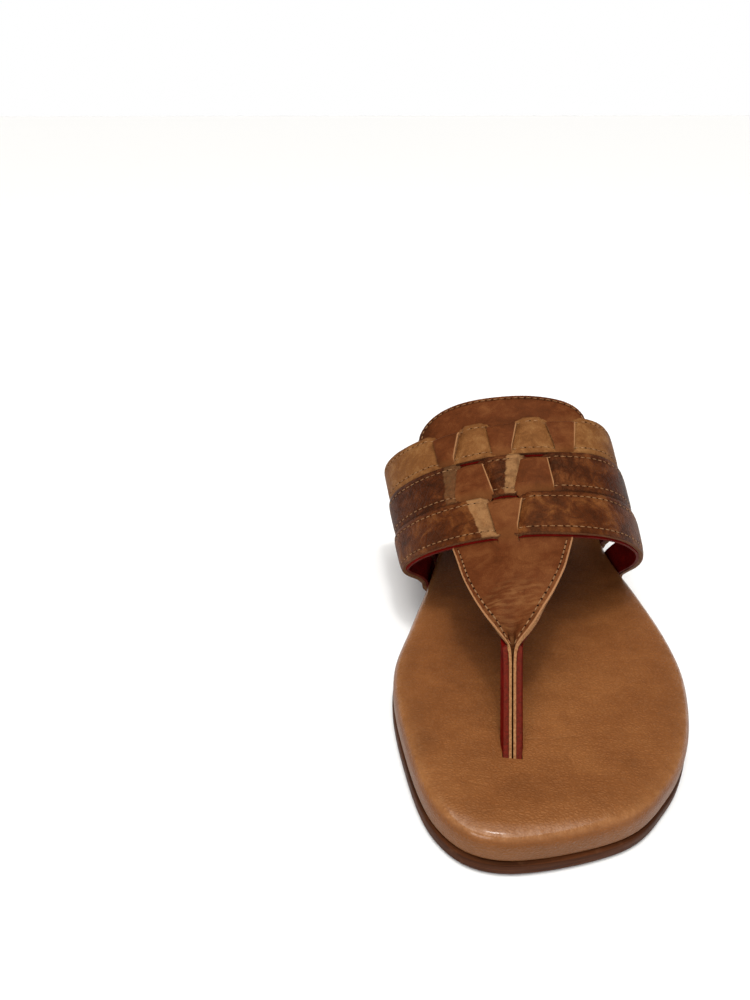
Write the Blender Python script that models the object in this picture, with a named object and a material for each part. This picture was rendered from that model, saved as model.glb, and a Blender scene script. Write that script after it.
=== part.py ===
"""Flat leather toe-post sandal for a left foot, with a woven three-strap vamp.

+Z is up, the toe points to -Y and the big-toe side is -X. The design is drawn in
millimetres from the middle of the ball of the foot, and is moved to the middle of
its box and scaled to metres when each mesh is made.
"""
import bpy
import bmesh
import math
import numpy as np
from mathutils import Matrix, Vector

MM = 0.001
GAP = 0.3                       # left between pieces that touch
BOX_MIDDLE = (-5.7, 65.0)       # middle of the finished sandal's box, in design millimetres

# ---- sole: outline through a few points, layers as heights above the outsole's underside
OUTLINE = [
    (-14, -66), (-31.5, -57.5), (-42.2, -31), (-46.8, -5), (-42.8, 20), (-37, 52), (-33.2, 90),
    (-32.6, 135), (-30, 168), (-19, 189), (0, 196), (20, 189), (31, 168), (33.5, 135), (32.5, 100), (34.5, 72),
    (40.8, 45), (45.6, 20), (46.4, -1), (41.5, -25), (32, -43), (17, -57),
]
SIDE_STEPS = 30                 # steps from toe tip to heel tip along each side
SPINE = ((-8, -28), (0, 160))   # line that the layers close on
CORE_REACH = 0.12
HEEL_RISE = 8.0
RISE_START, RISE_END = 80.0, 165.0
OUTSOLE_TOP = 4.5
OUTSOLE_ARRIS = 0.7
LINING_LAYER = OUTSOLE_TOP + GAP          # underside of what is cemented to the outsole
FILLER_TOP = 7.5
BOARD_TOP = 9.8
FOAM_TOP = 12.3
FOOTBED_TOP = 14.0
COVER_FACE = ((9, FOOTBED_TOP), (4.6, 13.6), (2.0, 12.5), (0.8, 10.6), (0.4, 8.0), (0.7, LINING_LAYER))
COVER_BACK = ((2.2, LINING_LAYER), (1.8, 8.0), (2.1, 10.1), (3.0, 11.5), (5.1, 12.35), (9, FOAM_TOP + GAP))
TOP_LIFT = 3.0
HEEL_BREAST = 128.0             # y of the heel's front face
HEEL_INSET = 1.5
HEEL_SPINE = ((0, 145), (0, 165))
HEEL_RINGS = 0.8                # reach of the rings near a heel layer's edge
NAIL_PLACES = ((-16, 152), (16, 152), (-12, 176), (12, 176))
NAIL_RADIUS = 0.9
NAIL_LOW, NAIL_TOP = 0.4, 6.0
SHANK_SIZE = (12.0, 96.0, 1.2)
SHANK_MIDDLE = (-1.0, 112.0)

# ---- vamp surface: cross-sections that change evenly from the front strap to the rear strap
SECTION_FRONT, SECTION_REAR = 20.7, 72.8  # where along the instep the two end sections stand
RIDGE_X = 3.0
RIDGE_Z = (53.0, 71.3)
MEDIAL = dict(side=-1, bulge_x=(-47.7, -58.2), bulge_z=(22.7, 40.0), roundness=(1.7, 1.7),
              foot_y=(49.0, 105.0), slant=2.2)
LATERAL = dict(side=1, bulge_x=(41.0, 31.8), bulge_z=(21.9, 44.9), roundness=(2.07, 2.9),
               foot_y=(62.5, 129.5), slant=1.64)
ARC_STEPS, FALL_STEPS, CORNER_STEPS = 10, 5, 4
CORNER_RADIUS = 3.5             # turn of a strap into the sole
TUCK = 11.0                     # strap end cemented between outsole and footbed
POCKET_ROOM = 0.7               # play of a strap end in its pocket

# ---- leathers
STRAP_LEATHER, STRAP_LINING = 1.4, 1.0
PANEL_LEATHER, PANEL_LINING = 1.6, 0.9
LOOP_LEATHER = 1.2
STRAPS = {"front_strap": (20.9, 36.8), "middle_strap": (38.8, 54.4), "rear_strap": (56.4, 72.2)}
STRAP_ROWS = 3

# ---- woven panel: places across are lengths along the section from the ridge, medial negative
PANEL_TOP = -3.0                # panel leather lies this far under the straps' faces
PANEL_BASE = PANEL_TOP - PANEL_LEATHER
BORDERS = (19.9, 37.8, 55.4, 73.2)
PANEL_EDGES = {                 # along: (medial edge, lateral edge)
    -19.0: (-15.2, -12.2), -5.0: (-25.8, -2.6), 8.0: (-31.0, 2.8), 20.0: (-35.3, 6.5), 73.2: (-51.0, 16.0),
}
TONGUE_REACH = 12.0
TONGUE_SKEW = 0.12              # share by which its medial half reaches further back
LOOPS = (                       # row, (medial slit, lateral slit) at its front and at its rear
    (0, (-18.7, -11.8), (-22.5, -9.2)),
    (1, (-33.7, -19.2), (-32.8, -24.0)),
    (1, (-12.7, 1.4), (-9.3, -0.9)),
    (2, (-40.5, -34.4), (-44.0, -31.8)),
    (2, (-19.8, -12.9), (-22.7, -10.0)),
    (2, (2.9, 9.5), (-1.0, 11.3)),
)
SLIT = 0.32                     # a loop's edge stands this far inside its slit
LEG = 0.6                       # half thickness of a loop's turn down between two straps
LOOP_LIFT = 0.4                 # underside of a loop above the strap it crosses
LOOP_CHAMFER = 0.6
LOOP_EMBED = 0.5                # depth to which a loop's legs sink in the panel
WINDOW_INSET, WINDOW_DEPTH = 0.2, 0.8
PANEL_COLUMNS = 16

# ---- toe post: the panel's tip folded in two, front edge from its top down into the footbed
POST_TOP = (-11.2, -19.6, 36.5)
POST_FOOT = (-10.4, -38.6, 14.0)
POST_END_Z = 5.3
POST_DEPTH = 10.0
POST_LEATHER = 1.2              # the panel is skived where it folds
POST_HALF = POST_LEATHER + 0.4
POST_ROUND = 0.3                # share of the section that turns round the back
SLOT_PLAY = 0.35
FOLD_START = 2.0                # along the instep, where the panel begins to fold
SINK_LENGTH = 18.0              # the V rises to the straps' level over this length
TONGUE_SQUARENESS = 3.2
POST_ROWS = 8
FOLD_SMOOTHING = 4


def material(name, colour, roughness, metallic=0.0):
    found = bpy.data.materials.get(name)
    if found:
        return found
    made = bpy.data.materials.new(name)
    made.use_nodes = True
    shader = made.node_tree.nodes["Principled BSDF"]
    shader.inputs["Base Color"].default_value = (*colour, 1.0)
    shader.inputs["Roughness"].default_value = roughness
    shader.inputs["Metallic"].default_value = metallic
    return made


def tan_leather():
    return material("tan_leather", (0.23, 0.085, 0.03), 0.45)


def brown_leather():
    return material("brown_leather", (0.13, 0.048, 0.018), 0.45)


def light_leather():
    return material("light_leather", (0.24, 0.12, 0.05), 0.5)


def red_lining():
    return material("red_lining", (0.11, 0.01, 0.008), 0.6)


def dark_rubber():
    return material("dark_rubber", (0.05, 0.02, 0.01), 0.6)


def board():
    return material("fibre_board", (0.35, 0.26, 0.16), 0.85)


def foam():
    return material("latex_foam", (0.75, 0.68, 0.5), 0.9)


def steel():
    return material("spring_steel", (0.55, 0.55, 0.57), 0.35, 1.0)


def add_object(name, points, faces, finish, collection):
    """One closed body from design points; its faces are turned to look outwards."""
    points = (np.asarray(points, float) - (*BOX_MIDDLE, 0.0)) * MM
    mesh = bpy.data.meshes.new(name)
    body = bmesh.new()
    corners = [body.verts.new(point) for point in points]
    for face in faces:
        if len(set(face)) > 2:
            body.faces.new([corners[i] for i in dict.fromkeys(face)])
    bmesh.ops.recalc_face_normals(body, faces=body.faces)
    body.to_mesh(mesh)
    body.free()
    mesh.materials.append(finish)
    obj = bpy.data.objects.new(name, mesh)
    collection.objects.link(obj)
    return obj


def slab(name, top, bottom, finish, collection):
    """A sheet between two matching grids of points, closed round its rim."""
    rows, columns = top.shape[:2]
    points = np.concatenate([top.reshape(-1, 3), bottom.reshape(-1, 3)])
    under = rows * columns

    def at(row, column):
        return row * columns + column

    faces = []
    for r in range(rows - 1):
        for c in range(columns - 1):
            ring = [at(r, c), at(r + 1, c), at(r + 1, c + 1), at(r, c + 1)]
            faces.append(ring)
            faces.append([i + under for i in reversed(ring)])
    rim = [at(0, c) for c in range(columns)] + [at(r, columns - 1) for r in range(1, rows)]
    rim += [at(rows - 1, c) for c in range(columns - 2, -1, -1)] + [at(r, 0) for r in range(rows - 2, 0, -1)]
    for a, b in zip(rim, rim[1:] + rim[:1]):
        faces.append([a, b, b + under, a + under])
    return add_object(name, points, faces, finish, collection)


def ring_loft(name, rings, finish, collection):
    """A body through closed rings that start at the toe; both end rings close across the foot."""
    count = len(rings[0])
    faces = []
    for k in range(len(rings) - 1):
        for i in range(count):
            j = (i + 1) % count
            faces.append([k * count + i, k * count + j, (k + 1) * count + j, (k + 1) * count + i])
    for start in (0, (len(rings) - 1) * count):
        for i in range(count // 2):
            ends = [i, i + 1, count - i - 1, (count - i) % count]
            faces.append([start + e for e in ends])
    return add_object(name, np.concatenate(rings), faces, finish, collection)


def cut(obj, cutters):
    for cutter in cutters:
        change = obj.modifiers.new("cut_" + cutter.name, "BOOLEAN")
        change.operation = "DIFFERENCE"
        change.object = cutter


def ease(share):
    share = np.clip(share, 0.0, 1.0)
    return share * share * (3.0 - 2.0 * share)


def rise(y):
    """How far the sole has risen towards the heel at y."""
    return HEEL_RISE * ease((y - RISE_START) / (RISE_END - RISE_START))


def spline_points(knots, steps=24):
    knots = np.array(knots, float)
    points = []
    for i in range(len(knots)):
        a, b, c, d = (knots[(i + k) % len(knots)] for k in (-1, 0, 1, 2))
        for t in np.linspace(0, 1, steps, endpoint=False):
            points.append(0.5 * (2 * b + (c - a) * t + (2 * a - 5 * b + 4 * c - d) * t ** 2
                                 + (3 * b - a - 3 * c + d) * t ** 3))
    return np.array(points)


def resample(chain, steps):
    length = np.r_[0, np.cumsum(np.hypot(*np.diff(chain, axis=0).T))]
    at = np.linspace(0, length[-1], steps + 1)
    return np.stack([np.interp(at, length, chain[:, 0]), np.interp(at, length, chain[:, 1])], 1)


def two_sides(loop):
    """The loop's medial chain and lateral chain, both from its lowest y to its highest y."""
    loop = np.roll(loop, -loop[:, 1].argmin(), axis=0)
    far = loop[:, 1].argmax()
    medial = loop[:far + 1]
    lateral = np.concatenate([loop[far:], loop[:1]])[::-1]
    return medial, lateral


def even_loop(loop, steps):
    medial, lateral = two_sides(loop)
    return np.concatenate([resample(medial, steps), resample(lateral, steps)[-2:0:-1]])


MEDIAL_EDGE, LATERAL_EDGE = two_sides(spline_points(OUTLINE))
SOLE_LOOP = even_loop(spline_points(OUTLINE), SIDE_STEPS)


def edge_x(side, y):
    chain = MEDIAL_EDGE if side < 0 else LATERAL_EDGE
    return np.interp(y, chain[:, 1], chain[:, 0])


def inward(loop, distance):
    ahead, behind = np.roll(loop, -1, 0), np.roll(loop, 1, 0)
    along = (ahead - behind) / np.linalg.norm(ahead - behind, axis=1)[:, None]
    normal = np.stack([-along[:, 1], along[:, 0]], 1)
    if (normal * (loop.mean(0) - loop)).sum() < 0:
        normal = -normal
    return loop + normal * distance


def towards_spine(loop, spine, reach):
    a, b = (np.array(end, float) for end in spine)
    share = np.clip(((loop - a) @ (b - a)) / ((b - a) @ (b - a)), 0, 1)[:, None]
    foot = a + share * (b - a)
    return foot + (loop - foot) * reach


def sole_ring(inset, height, core=False):
    """A ring of the sole's outline, inset, at a height above the outsole's underside."""
    flat = inward(SOLE_LOOP, inset)
    if core:
        flat = towards_spine(flat, SPINE, CORE_REACH)
    return np.column_stack([flat, height + rise(flat[:, 1])])


def layer(name, profile, finish, collection):
    """A sole layer: profile is (inset, height) from its underside round its edge to its top."""
    (first_inset, first_height), (last_inset, last_height) = profile[0], profile[-1]
    rings = [sole_ring(first_inset, first_height, core=True)]
    rings += [sole_ring(inset, height) for inset, height in profile]
    rings.append(sole_ring(last_inset, last_height, core=True))
    return ring_loft(name, rings, finish, collection)


def make_outsole(parts):
    soft = OUTSOLE_ARRIS
    profile = [(9, 0), (soft, 0), (0, soft), (0, OUTSOLE_TOP - soft), (soft, OUTSOLE_TOP), (9, OUTSOLE_TOP)]
    layer("outsole", profile, dark_rubber(), parts)


def heel_outline():
    """The sole's outline behind the heel breast, closed by a straight front."""
    loop = inward(SOLE_LOOP, HEEL_INSET)
    medial, lateral = two_sides(loop)
    sides = []
    for chain in (medial, lateral):
        start = np.array([[np.interp(HEEL_BREAST, chain[:, 1], chain[:, 0]), HEEL_BREAST]])
        rest = chain[chain[:, 1] > HEEL_BREAST + 1.0]
        front = np.array([[0.0, HEEL_BREAST - 0.01]])
        sides.append(np.concatenate([front, start, resample(np.concatenate([start, rest]), 14)[1:]]))
    return np.concatenate([sides[0], sides[1][-2:0:-1]])


def make_heel(parts, cutters):
    loop = heel_outline()

    def heel_layer(name, low, high, follow_top, finish):
        rings = []
        for reach, height, follow in ((CORE_REACH, low, False), (HEEL_RINGS, low, False), (1.0, low, False),
                                      (1.0, high, follow_top), (HEEL_RINGS, high, follow_top),
                                      (CORE_REACH, high, follow_top)):
            flat = towards_spine(loop, HEEL_SPINE, reach)
            rings.append(np.column_stack([flat, height + rise(flat[:, 1]) * follow]))
        return ring_loft(name, rings, finish, parts)

    lift = heel_layer("heel_top_lift", 0.0, TOP_LIFT, False, dark_rubber())
    block = heel_layer("heel_block", TOP_LIFT + GAP, -GAP, True, brown_leather())
    for number, place in enumerate(NAIL_PLACES, 1):
        nail = make_pin(f"heel_nail_{number}", place, NAIL_RADIUS, NAIL_LOW, NAIL_TOP, parts)
        nail.data.materials.append(steel())
        nail.data.shade_smooth()
        hole = make_pin(f"nail_hole_{number}", place, NAIL_RADIUS + GAP, -1.0, NAIL_TOP + GAP, cutters)
        cut(lift, [hole])
        cut(block, [hole])


def make_pin(name, place, radius, low, high, collection):
    """An upright round pin between two heights."""
    x, y = (p - m for p, m in zip(place, BOX_MIDDLE))
    middle = Matrix.Translation(Vector((x, y, (low + high) / 2)) * MM)
    body = bmesh.new()
    bmesh.ops.create_cone(body, cap_ends=True, segments=10, radius1=radius * MM, radius2=radius * MM,
                          depth=(high - low) * MM, matrix=middle)
    mesh = bpy.data.meshes.new(name)
    body.to_mesh(mesh)
    body.free()
    obj = bpy.data.objects.new(name, mesh)
    collection.objects.link(obj)
    return obj


def block_cutter(name, x_range, y_range, z_range, cutters):
    """A cutter that follows the sole's rise along y."""
    ys = np.linspace(*y_range, 9)
    top = np.array([[(x, y, z_range[1] + rise(y)) for x in x_range] for y in ys])
    bottom = np.array([[(x, y, z_range[0] + rise(y)) for x in x_range] for y in ys])
    return slab(name, top, bottom, foam(), cutters)


def strap_pocket(name, side, along, cutters):
    """Room between outsole and board for one strap end, through the footbed's side."""
    reach = TUCK + 2.0
    y_range = [foot_y(side, v) + margin for v, margin in zip(along, (-POCKET_ROOM, POCKET_ROOM))]
    ys = np.linspace(*y_range, 6)
    sides = [[edge_x(side["side"], y) + side["side"] * d for d in (4.0, -reach)] for y in ys]
    grids = []
    for height in (FILLER_TOP + 0.45, OUTSOLE_TOP + 0.1):
        grids.append(np.array([[(x, y, height + rise(y)) for x in xs] for xs, y in zip(sides, ys)]))
    return slab(name, grids[0], grids[1], foam(), cutters)


def make_filler(parts, cutters, pockets, post_slot):
    profile = [(9, LINING_LAYER), (2.6, LINING_LAYER), (2.6, FILLER_TOP), (9, FILLER_TOP)]
    filler = layer("bottom_filler", profile, board(), parts)
    wide, long, thick = SHANK_SIZE
    x, y = SHANK_MIDDLE
    groove = block_cutter("shank_groove", (x - wide / 2 - GAP, x + wide / 2 + GAP),
                          (y - long / 2 - GAP, y + long / 2 + GAP),
                          (FILLER_TOP - thick - GAP, FILLER_TOP + 2.0), cutters)
    cut(filler, pockets + [groove, post_slot])


def make_shank(parts):
    wide, long, thick = SHANK_SIZE
    x, y = SHANK_MIDDLE
    ys = np.linspace(y - long / 2, y + long / 2, 13)
    top = np.array([[(x + d, at, FILLER_TOP + rise(at)) for d in (-wide / 2, 0, wide / 2)] for at in ys])
    slab("steel_shank", top, top - (0, 0, thick), steel(), parts)


def make_insole_board(parts, post_slot):
    low = FILLER_TOP + GAP
    made = layer("insole_board", [(9, low), (2.5, low), (2.5, BOARD_TOP), (9, BOARD_TOP)], board(), parts)
    cut(made, [post_slot])


def make_cushion(parts, post_slot):
    low = BOARD_TOP + GAP
    profile = [(9, low), (2.6, low), (3.5, low + 1.1), (5.4, FOAM_TOP - 0.35), (9, FOAM_TOP)]
    made = layer("foam_cushion", profile, foam(), parts)
    cut(made, [post_slot])


def make_footbed_cover(parts, pockets, post_slot):
    """Tan leather over the cushion, round the rim and down to the outsole, open below."""
    made = layer("footbed_cover", COVER_FACE + COVER_BACK, tan_leather(), parts)
    cut(made, pockets + [post_slot])


def between(pair, along):
    share = (along - SECTION_FRONT) / (SECTION_REAR - SECTION_FRONT)
    return pair[0] + (pair[1] - pair[0]) * share


def foot_y(side, along):
    return between(side["foot_y"], along)


def half_section(side, along):
    """One side of the section at a place along the instep: x, y, z and length from the ridge.

    A super-ellipse from the ridge to the widest point, an easy fall beside the sole,
    a round turn under the footbed's rim and a flat tuck on the outsole.
    """
    out, cy = side["side"], foot_y(side, along)
    ridge_z, bulge_x = between(RIDGE_Z, along), between(side["bulge_x"], along)
    bulge_z, power = between(side["bulge_z"], along), between(side["roundness"], along)
    edge, floor = edge_x(out, cy), LINING_LAYER + rise(cy)
    angle = np.linspace(math.pi / 2, 0, ARC_STEPS + 1)
    x = RIDGE_X + (bulge_x - RIDGE_X) * np.abs(np.cos(angle)) ** (2 / power)
    z = bulge_z + (ridge_z - bulge_z) * np.abs(np.sin(angle)) ** (2 / power)
    x[0], z[-1] = RIDGE_X, bulge_z
    turn_x, turn_z = edge + out * (CORNER_RADIUS - 0.3), floor + CORNER_RADIUS
    t = np.linspace(0, 1, FALL_STEPS + 1)[1:]
    pull = 0.45 * (bulge_z - turn_z)
    x_fall = (1 - t) ** 2 * (1 + 2 * t) * bulge_x + t ** 2 * (3 - 2 * t) * turn_x
    z_fall = ((1 - t) ** 3 * bulge_z + 3 * t * (1 - t) ** 2 * (bulge_z - pull)
              + 3 * t ** 2 * (1 - t) * (turn_z + pull) + t ** 3 * turn_z)
    bend = np.linspace(0, math.pi / 2, CORNER_STEPS + 1)[1:]
    x_turn = edge - out * 0.3 + out * CORNER_RADIUS * np.cos(bend)
    z_turn = turn_z - CORNER_RADIUS * np.sin(bend)
    x_tuck, z_tuck = [edge - out * TUCK], [floor]
    x = np.concatenate([x, x_fall, x_turn, x_tuck])
    z = np.concatenate([z, z_fall, z_turn, z_tuck])
    length = np.r_[0, np.cumsum(np.hypot(np.diff(x), np.diff(z)))]
    share = np.minimum(length / length[-2 - CORNER_STEPS], 1.0)
    y = along + (cy - along) * share ** side["slant"]
    return x, y, z, length


def section(along):
    """The whole section: points from the medial end to the lateral end, outward normals, lengths."""
    mx, my, mz, ml = half_section(MEDIAL, along)
    lx, ly, lz, ll = half_section(LATERAL, along)
    points = np.column_stack([np.r_[mx[::-1], lx[1:]], np.r_[my[::-1], ly[1:]], np.r_[mz[::-1], lz[1:]]])
    step = np.gradient(points[:, [0, 2]], axis=0)
    step /= np.linalg.norm(step, axis=1)[:, None]
    normals = np.column_stack([-step[:, 1], np.zeros(len(step)), step[:, 0]])
    return points, normals, np.r_[-ml[::-1], ll[1:]]


def vamp_point(across, along, height):
    points, normals, length = section(along)
    place = [np.interp(across, length, points[:, k]) for k in range(3)]
    out = np.array([np.interp(across, length, normals[:, k]) for k in range(3)])
    return np.array(place) + height * out / np.linalg.norm(out)


def make_strap(name, along, parts):
    """A leather strap over the foot and its lining, both from sole edge to sole edge."""
    rows = [section(v) for v in np.linspace(*along, STRAP_ROWS + 1)]
    leather_under = -STRAP_LEATHER
    lining_over = leather_under - GAP

    def sheet(height):
        return np.array([points + height * normals for points, normals, _ in rows])

    finish = {"front_strap": tan_leather, "middle_strap": brown_leather, "rear_strap": light_leather}[name]
    slab(name, sheet(0.0), sheet(leather_under), finish(), parts)
    slab(name + "_lining", sheet(lining_over), sheet(lining_over - STRAP_LINING), red_lining(), parts)


def panel_edges(along):
    keys = sorted(PANEL_EDGES)
    medial = np.interp(along, keys, [PANEL_EDGES[k][0] for k in keys])
    lateral = np.interp(along, keys, [PANEL_EDGES[k][1] for k in keys])
    return medial, lateral


def post_section(share):
    """The folded post's section at a share of its length: a U that opens forwards, level all round."""
    top, foot = np.array(POST_TOP), np.array(POST_FOOT)
    end = top + (foot - top) * (top[2] - POST_END_Z) / (top[2] - foot[2])
    front = top + (end - top) * share
    points = []
    for s in np.linspace(-1, 1, PANEL_COLUMNS + 1):
        side, at = math.copysign(1.0, s), abs(s)
        if at > POST_ROUND:
            leg = (1 - at) / (1 - POST_ROUND)
            points.append(front + (side * POST_HALF, leg * (POST_DEPTH - POST_HALF), 0))
        else:
            angle = at / POST_ROUND * math.pi / 2
            points.append(front + (side * POST_HALF * math.sin(angle),
                                   POST_DEPTH - POST_HALF + POST_HALF * math.cos(angle), 0))
    return np.array(points)


def panel_surface():
    """The underside of the panel leather, from the post's end through the V to the tongue."""
    rows = [post_section(share) for share in np.linspace(1, 0, POST_ROWS + 1)]
    spread = np.linspace(0, 1, PANEL_COLUMNS + 1)
    tip = min(PANEL_EDGES)
    for along in np.r_[np.linspace(tip + 3, FOLD_START, 8), np.linspace(6, BORDERS[-1], 15)]:
        medial, lateral = panel_edges(along)
        sunk = ease((along - FOLD_START) / SINK_LENGTH)
        under = PANEL_BASE * sunk - PANEL_LEATHER * (1 - sunk)
        flat = np.array([vamp_point(medial + (lateral - medial) * s, along, under) for s in spread])
        fold = ease((FOLD_START - along) / (FOLD_START - tip))
        rows.append((1 - fold) * flat + fold * post_section(0.0))
    medial, lateral = panel_edges(BORDERS[-1])
    for step in (0.25, 0.5, 0.75, 1.0):
        row = []
        for s in spread:
            across = medial + (lateral - medial) * s
            rounding = (1 - abs(2 * s - 1) ** TONGUE_SQUARENESS) ** 0.5
            reach = (1.5 + TONGUE_REACH * rounding) * (1 - TONGUE_SKEW * (2 * s - 1))
            row.append(vamp_point(across, BORDERS[-1] + reach * step, PANEL_BASE))
        rows.append(np.array(row))
    grid = np.array(rows)
    for _ in range(FOLD_SMOOTHING):
        bend = slice(POST_ROWS - 3, POST_ROWS + 7)
        ahead, behind = slice(POST_ROWS - 2, POST_ROWS + 8), slice(POST_ROWS - 4, POST_ROWS + 6)
        grid[bend] = (grid[behind] + 2 * grid[bend] + grid[ahead]) / 4
    return grid


def grid_normals(grid):
    along, across = np.gradient(grid, axis=0), np.gradient(grid, axis=1)
    normal = np.cross(across, along)
    return normal / np.linalg.norm(normal, axis=2)[:, :, None]


def loop_grids(row, front, rear):
    """Outer and inner faces of one strip of the panel that crosses over a strap."""
    low, high = BORDERS[row], BORDERS[row + 1]
    embed, crown = PANEL_BASE + LOOP_EMBED, LOOP_LEATHER + LOOP_LIFT
    middle, shoulder, turn = (low + high) / 2, crown - LOOP_CHAMFER, 2 * LEG
    outer = [(low - LEG, embed), (low - LEG, shoulder), (low, crown), (middle, crown), (high, crown),
             (high + LEG, shoulder), (high + LEG, embed)]
    inner = [(low + LEG, embed), (low + LEG, 0), (low + turn, LOOP_LIFT), (middle, LOOP_LIFT),
             (high - turn, LOOP_LIFT), (high - LEG, 0), (high - LEG, embed)]
    grids = []
    for outline in (outer, inner):
        grid = []
        for along, height in outline:
            share = np.clip((along - low) / (high - low), 0, 1)
            medial = front[0] + (rear[0] - front[0]) * share + SLIT
            lateral = front[1] + (rear[1] - front[1]) * share - SLIT
            grid.append([vamp_point(a, along, height) for a in np.linspace(medial, lateral, 5)])
        grids.append(np.array(grid))
    return grids


def window_cutter(name, row, front, rear, cutters):
    """The hole in the panel under one loop, where the strap comes through."""
    low, high = BORDERS[row], BORDERS[row + 1]
    grids = []
    margin = LEG + WINDOW_INSET
    for height in (PANEL_TOP + WINDOW_DEPTH, PANEL_BASE - WINDOW_DEPTH):
        grid = []
        for along in np.linspace(low + margin, high - margin, 4):
            share = (along - low) / (high - low)
            medial = front[0] + (rear[0] - front[0]) * share
            lateral = front[1] + (rear[1] - front[1]) * share
            grid.append([vamp_point(a, along, height) for a in np.linspace(medial, lateral, 5)])
        grids.append(np.array(grid))
    return slab(name, grids[0], grids[1], foam(), cutters)


def make_panel(parts, cutters):
    """The woven panel: one leather from tongue to post, slit so that six strips pass over the straps."""
    under = panel_surface()
    normal = grid_normals(under)
    skive = ease(np.arange(len(under)) / POST_ROWS - 1.0)[:, None, None]
    leather = POST_LEATHER + (PANEL_LEATHER - POST_LEATHER) * skive
    panel = slab("vamp_panel", under + normal * leather, under, tan_leather(), parts)
    slab("vamp_lining", under - normal * GAP, under - normal * (GAP + PANEL_LINING), red_lining(), parts)
    for number, (row, front, rear) in enumerate(LOOPS, 1):
        cut(panel, [window_cutter(f"window_{number}", row, front, rear, cutters)])
    for number, (row, front, rear) in enumerate(LOOPS, 1):
        outer, inner = loop_grids(row, front, rear)
        loop = slab(f"loop_{number}", outer, inner, tan_leather(), cutters)
        join = panel.modifiers.new("join_" + loop.name, "BOOLEAN")
        join.operation = "UNION"
        join.object = loop


def make_post_slot(cutters):
    """A slanted slot through cover, cushion, board and filler for the folded post."""
    top, foot = np.array(POST_TOP), np.array(POST_FOOT)
    lean = (foot - top) / (top[2] - foot[2])
    room = PANEL_LINING + GAP + SLOT_PLAY
    grids = []
    for height in (FOOTBED_TOP + 1.0, OUTSOLE_TOP + 0.1):
        at = top + lean * (top[2] - height)
        xs = (at[0] - POST_HALF - room, at[0] + POST_HALF + room)
        ys = (at[1] - 2 * SLOT_PLAY, at[1] + POST_DEPTH + room + SLOT_PLAY)
        grids.append(np.array([[(x, y, height) for x in xs] for y in ys]))
    return slab("post_slot", grids[0], grids[1], foam(), cutters)


def new_collection(name):
    made = bpy.data.collections.new(name)
    bpy.context.scene.collection.children.link(made)
    return made


def build():
    for old in list(bpy.data.objects):
        bpy.data.objects.remove(old, do_unlink=True)
    parts = new_collection("flip_flop")
    cutters = new_collection("cutters")
    pockets = []
    for name, along in STRAPS.items():
        for side, word in ((MEDIAL, "medial"), (LATERAL, "lateral")):
            pockets.append(strap_pocket(f"{name}_{word}_pocket", side, along, cutters))
        make_strap(name, along, parts)
    post_slot = make_post_slot(cutters)
    make_outsole(parts)
    make_heel(parts, cutters)
    make_filler(parts, cutters, pockets, post_slot)
    make_shank(parts)
    make_insole_board(parts, post_slot)
    make_cushion(parts, post_slot)
    make_footbed_cover(parts, pockets, post_slot)
    make_panel(parts, cutters)
    for cutter in cutters.objects:
        cutter.hide_render = True
        cutter.display_type = "WIRE"


build()
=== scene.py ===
import math

import bmesh
import bpy
import numpy as np
from mathutils import Matrix, Vector


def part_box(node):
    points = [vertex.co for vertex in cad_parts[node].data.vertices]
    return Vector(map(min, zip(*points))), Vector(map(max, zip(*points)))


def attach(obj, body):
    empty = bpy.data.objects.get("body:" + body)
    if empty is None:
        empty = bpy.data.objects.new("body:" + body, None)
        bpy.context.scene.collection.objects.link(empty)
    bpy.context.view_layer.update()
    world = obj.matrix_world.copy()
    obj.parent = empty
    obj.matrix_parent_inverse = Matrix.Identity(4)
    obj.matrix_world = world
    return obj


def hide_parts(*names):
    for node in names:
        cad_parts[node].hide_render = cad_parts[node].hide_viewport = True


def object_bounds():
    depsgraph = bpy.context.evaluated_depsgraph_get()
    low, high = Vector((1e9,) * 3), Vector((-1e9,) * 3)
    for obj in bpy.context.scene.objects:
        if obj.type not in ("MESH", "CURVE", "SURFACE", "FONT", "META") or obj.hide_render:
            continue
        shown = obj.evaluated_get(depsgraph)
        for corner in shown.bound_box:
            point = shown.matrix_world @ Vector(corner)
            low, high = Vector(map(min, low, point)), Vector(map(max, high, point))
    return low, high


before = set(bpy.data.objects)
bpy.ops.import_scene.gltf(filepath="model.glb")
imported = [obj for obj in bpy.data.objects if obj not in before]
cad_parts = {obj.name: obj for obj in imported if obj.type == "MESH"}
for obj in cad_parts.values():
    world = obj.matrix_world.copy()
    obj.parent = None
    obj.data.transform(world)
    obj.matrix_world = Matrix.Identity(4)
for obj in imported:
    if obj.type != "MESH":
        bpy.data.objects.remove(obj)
cad_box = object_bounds()

# ---------------------------------------------------------------------------------------
# Studio: a pale floor, a white room and large soft lights over a single left-foot sandal.
# The camera stands low in front of the toe, a little to the big-toe side, and looks down.
MM = 0.001
CAMERA_PLACE = Vector((-26.4, -256.8, 176.6)) * MM
CAMERA_TURN = math.radians(6.2)
CAMERA_PITCH = math.radians(28.41)
CAMERA_ROLL = math.radians(0.23)
CAMERA_LENS = 26.93
FLOOR_SIZE = 8.0
FLOOR_GAP = 0.0002
STUDIO_LIGHT = 1.2              # light on a level surface, as a share of what makes white paper white

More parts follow.
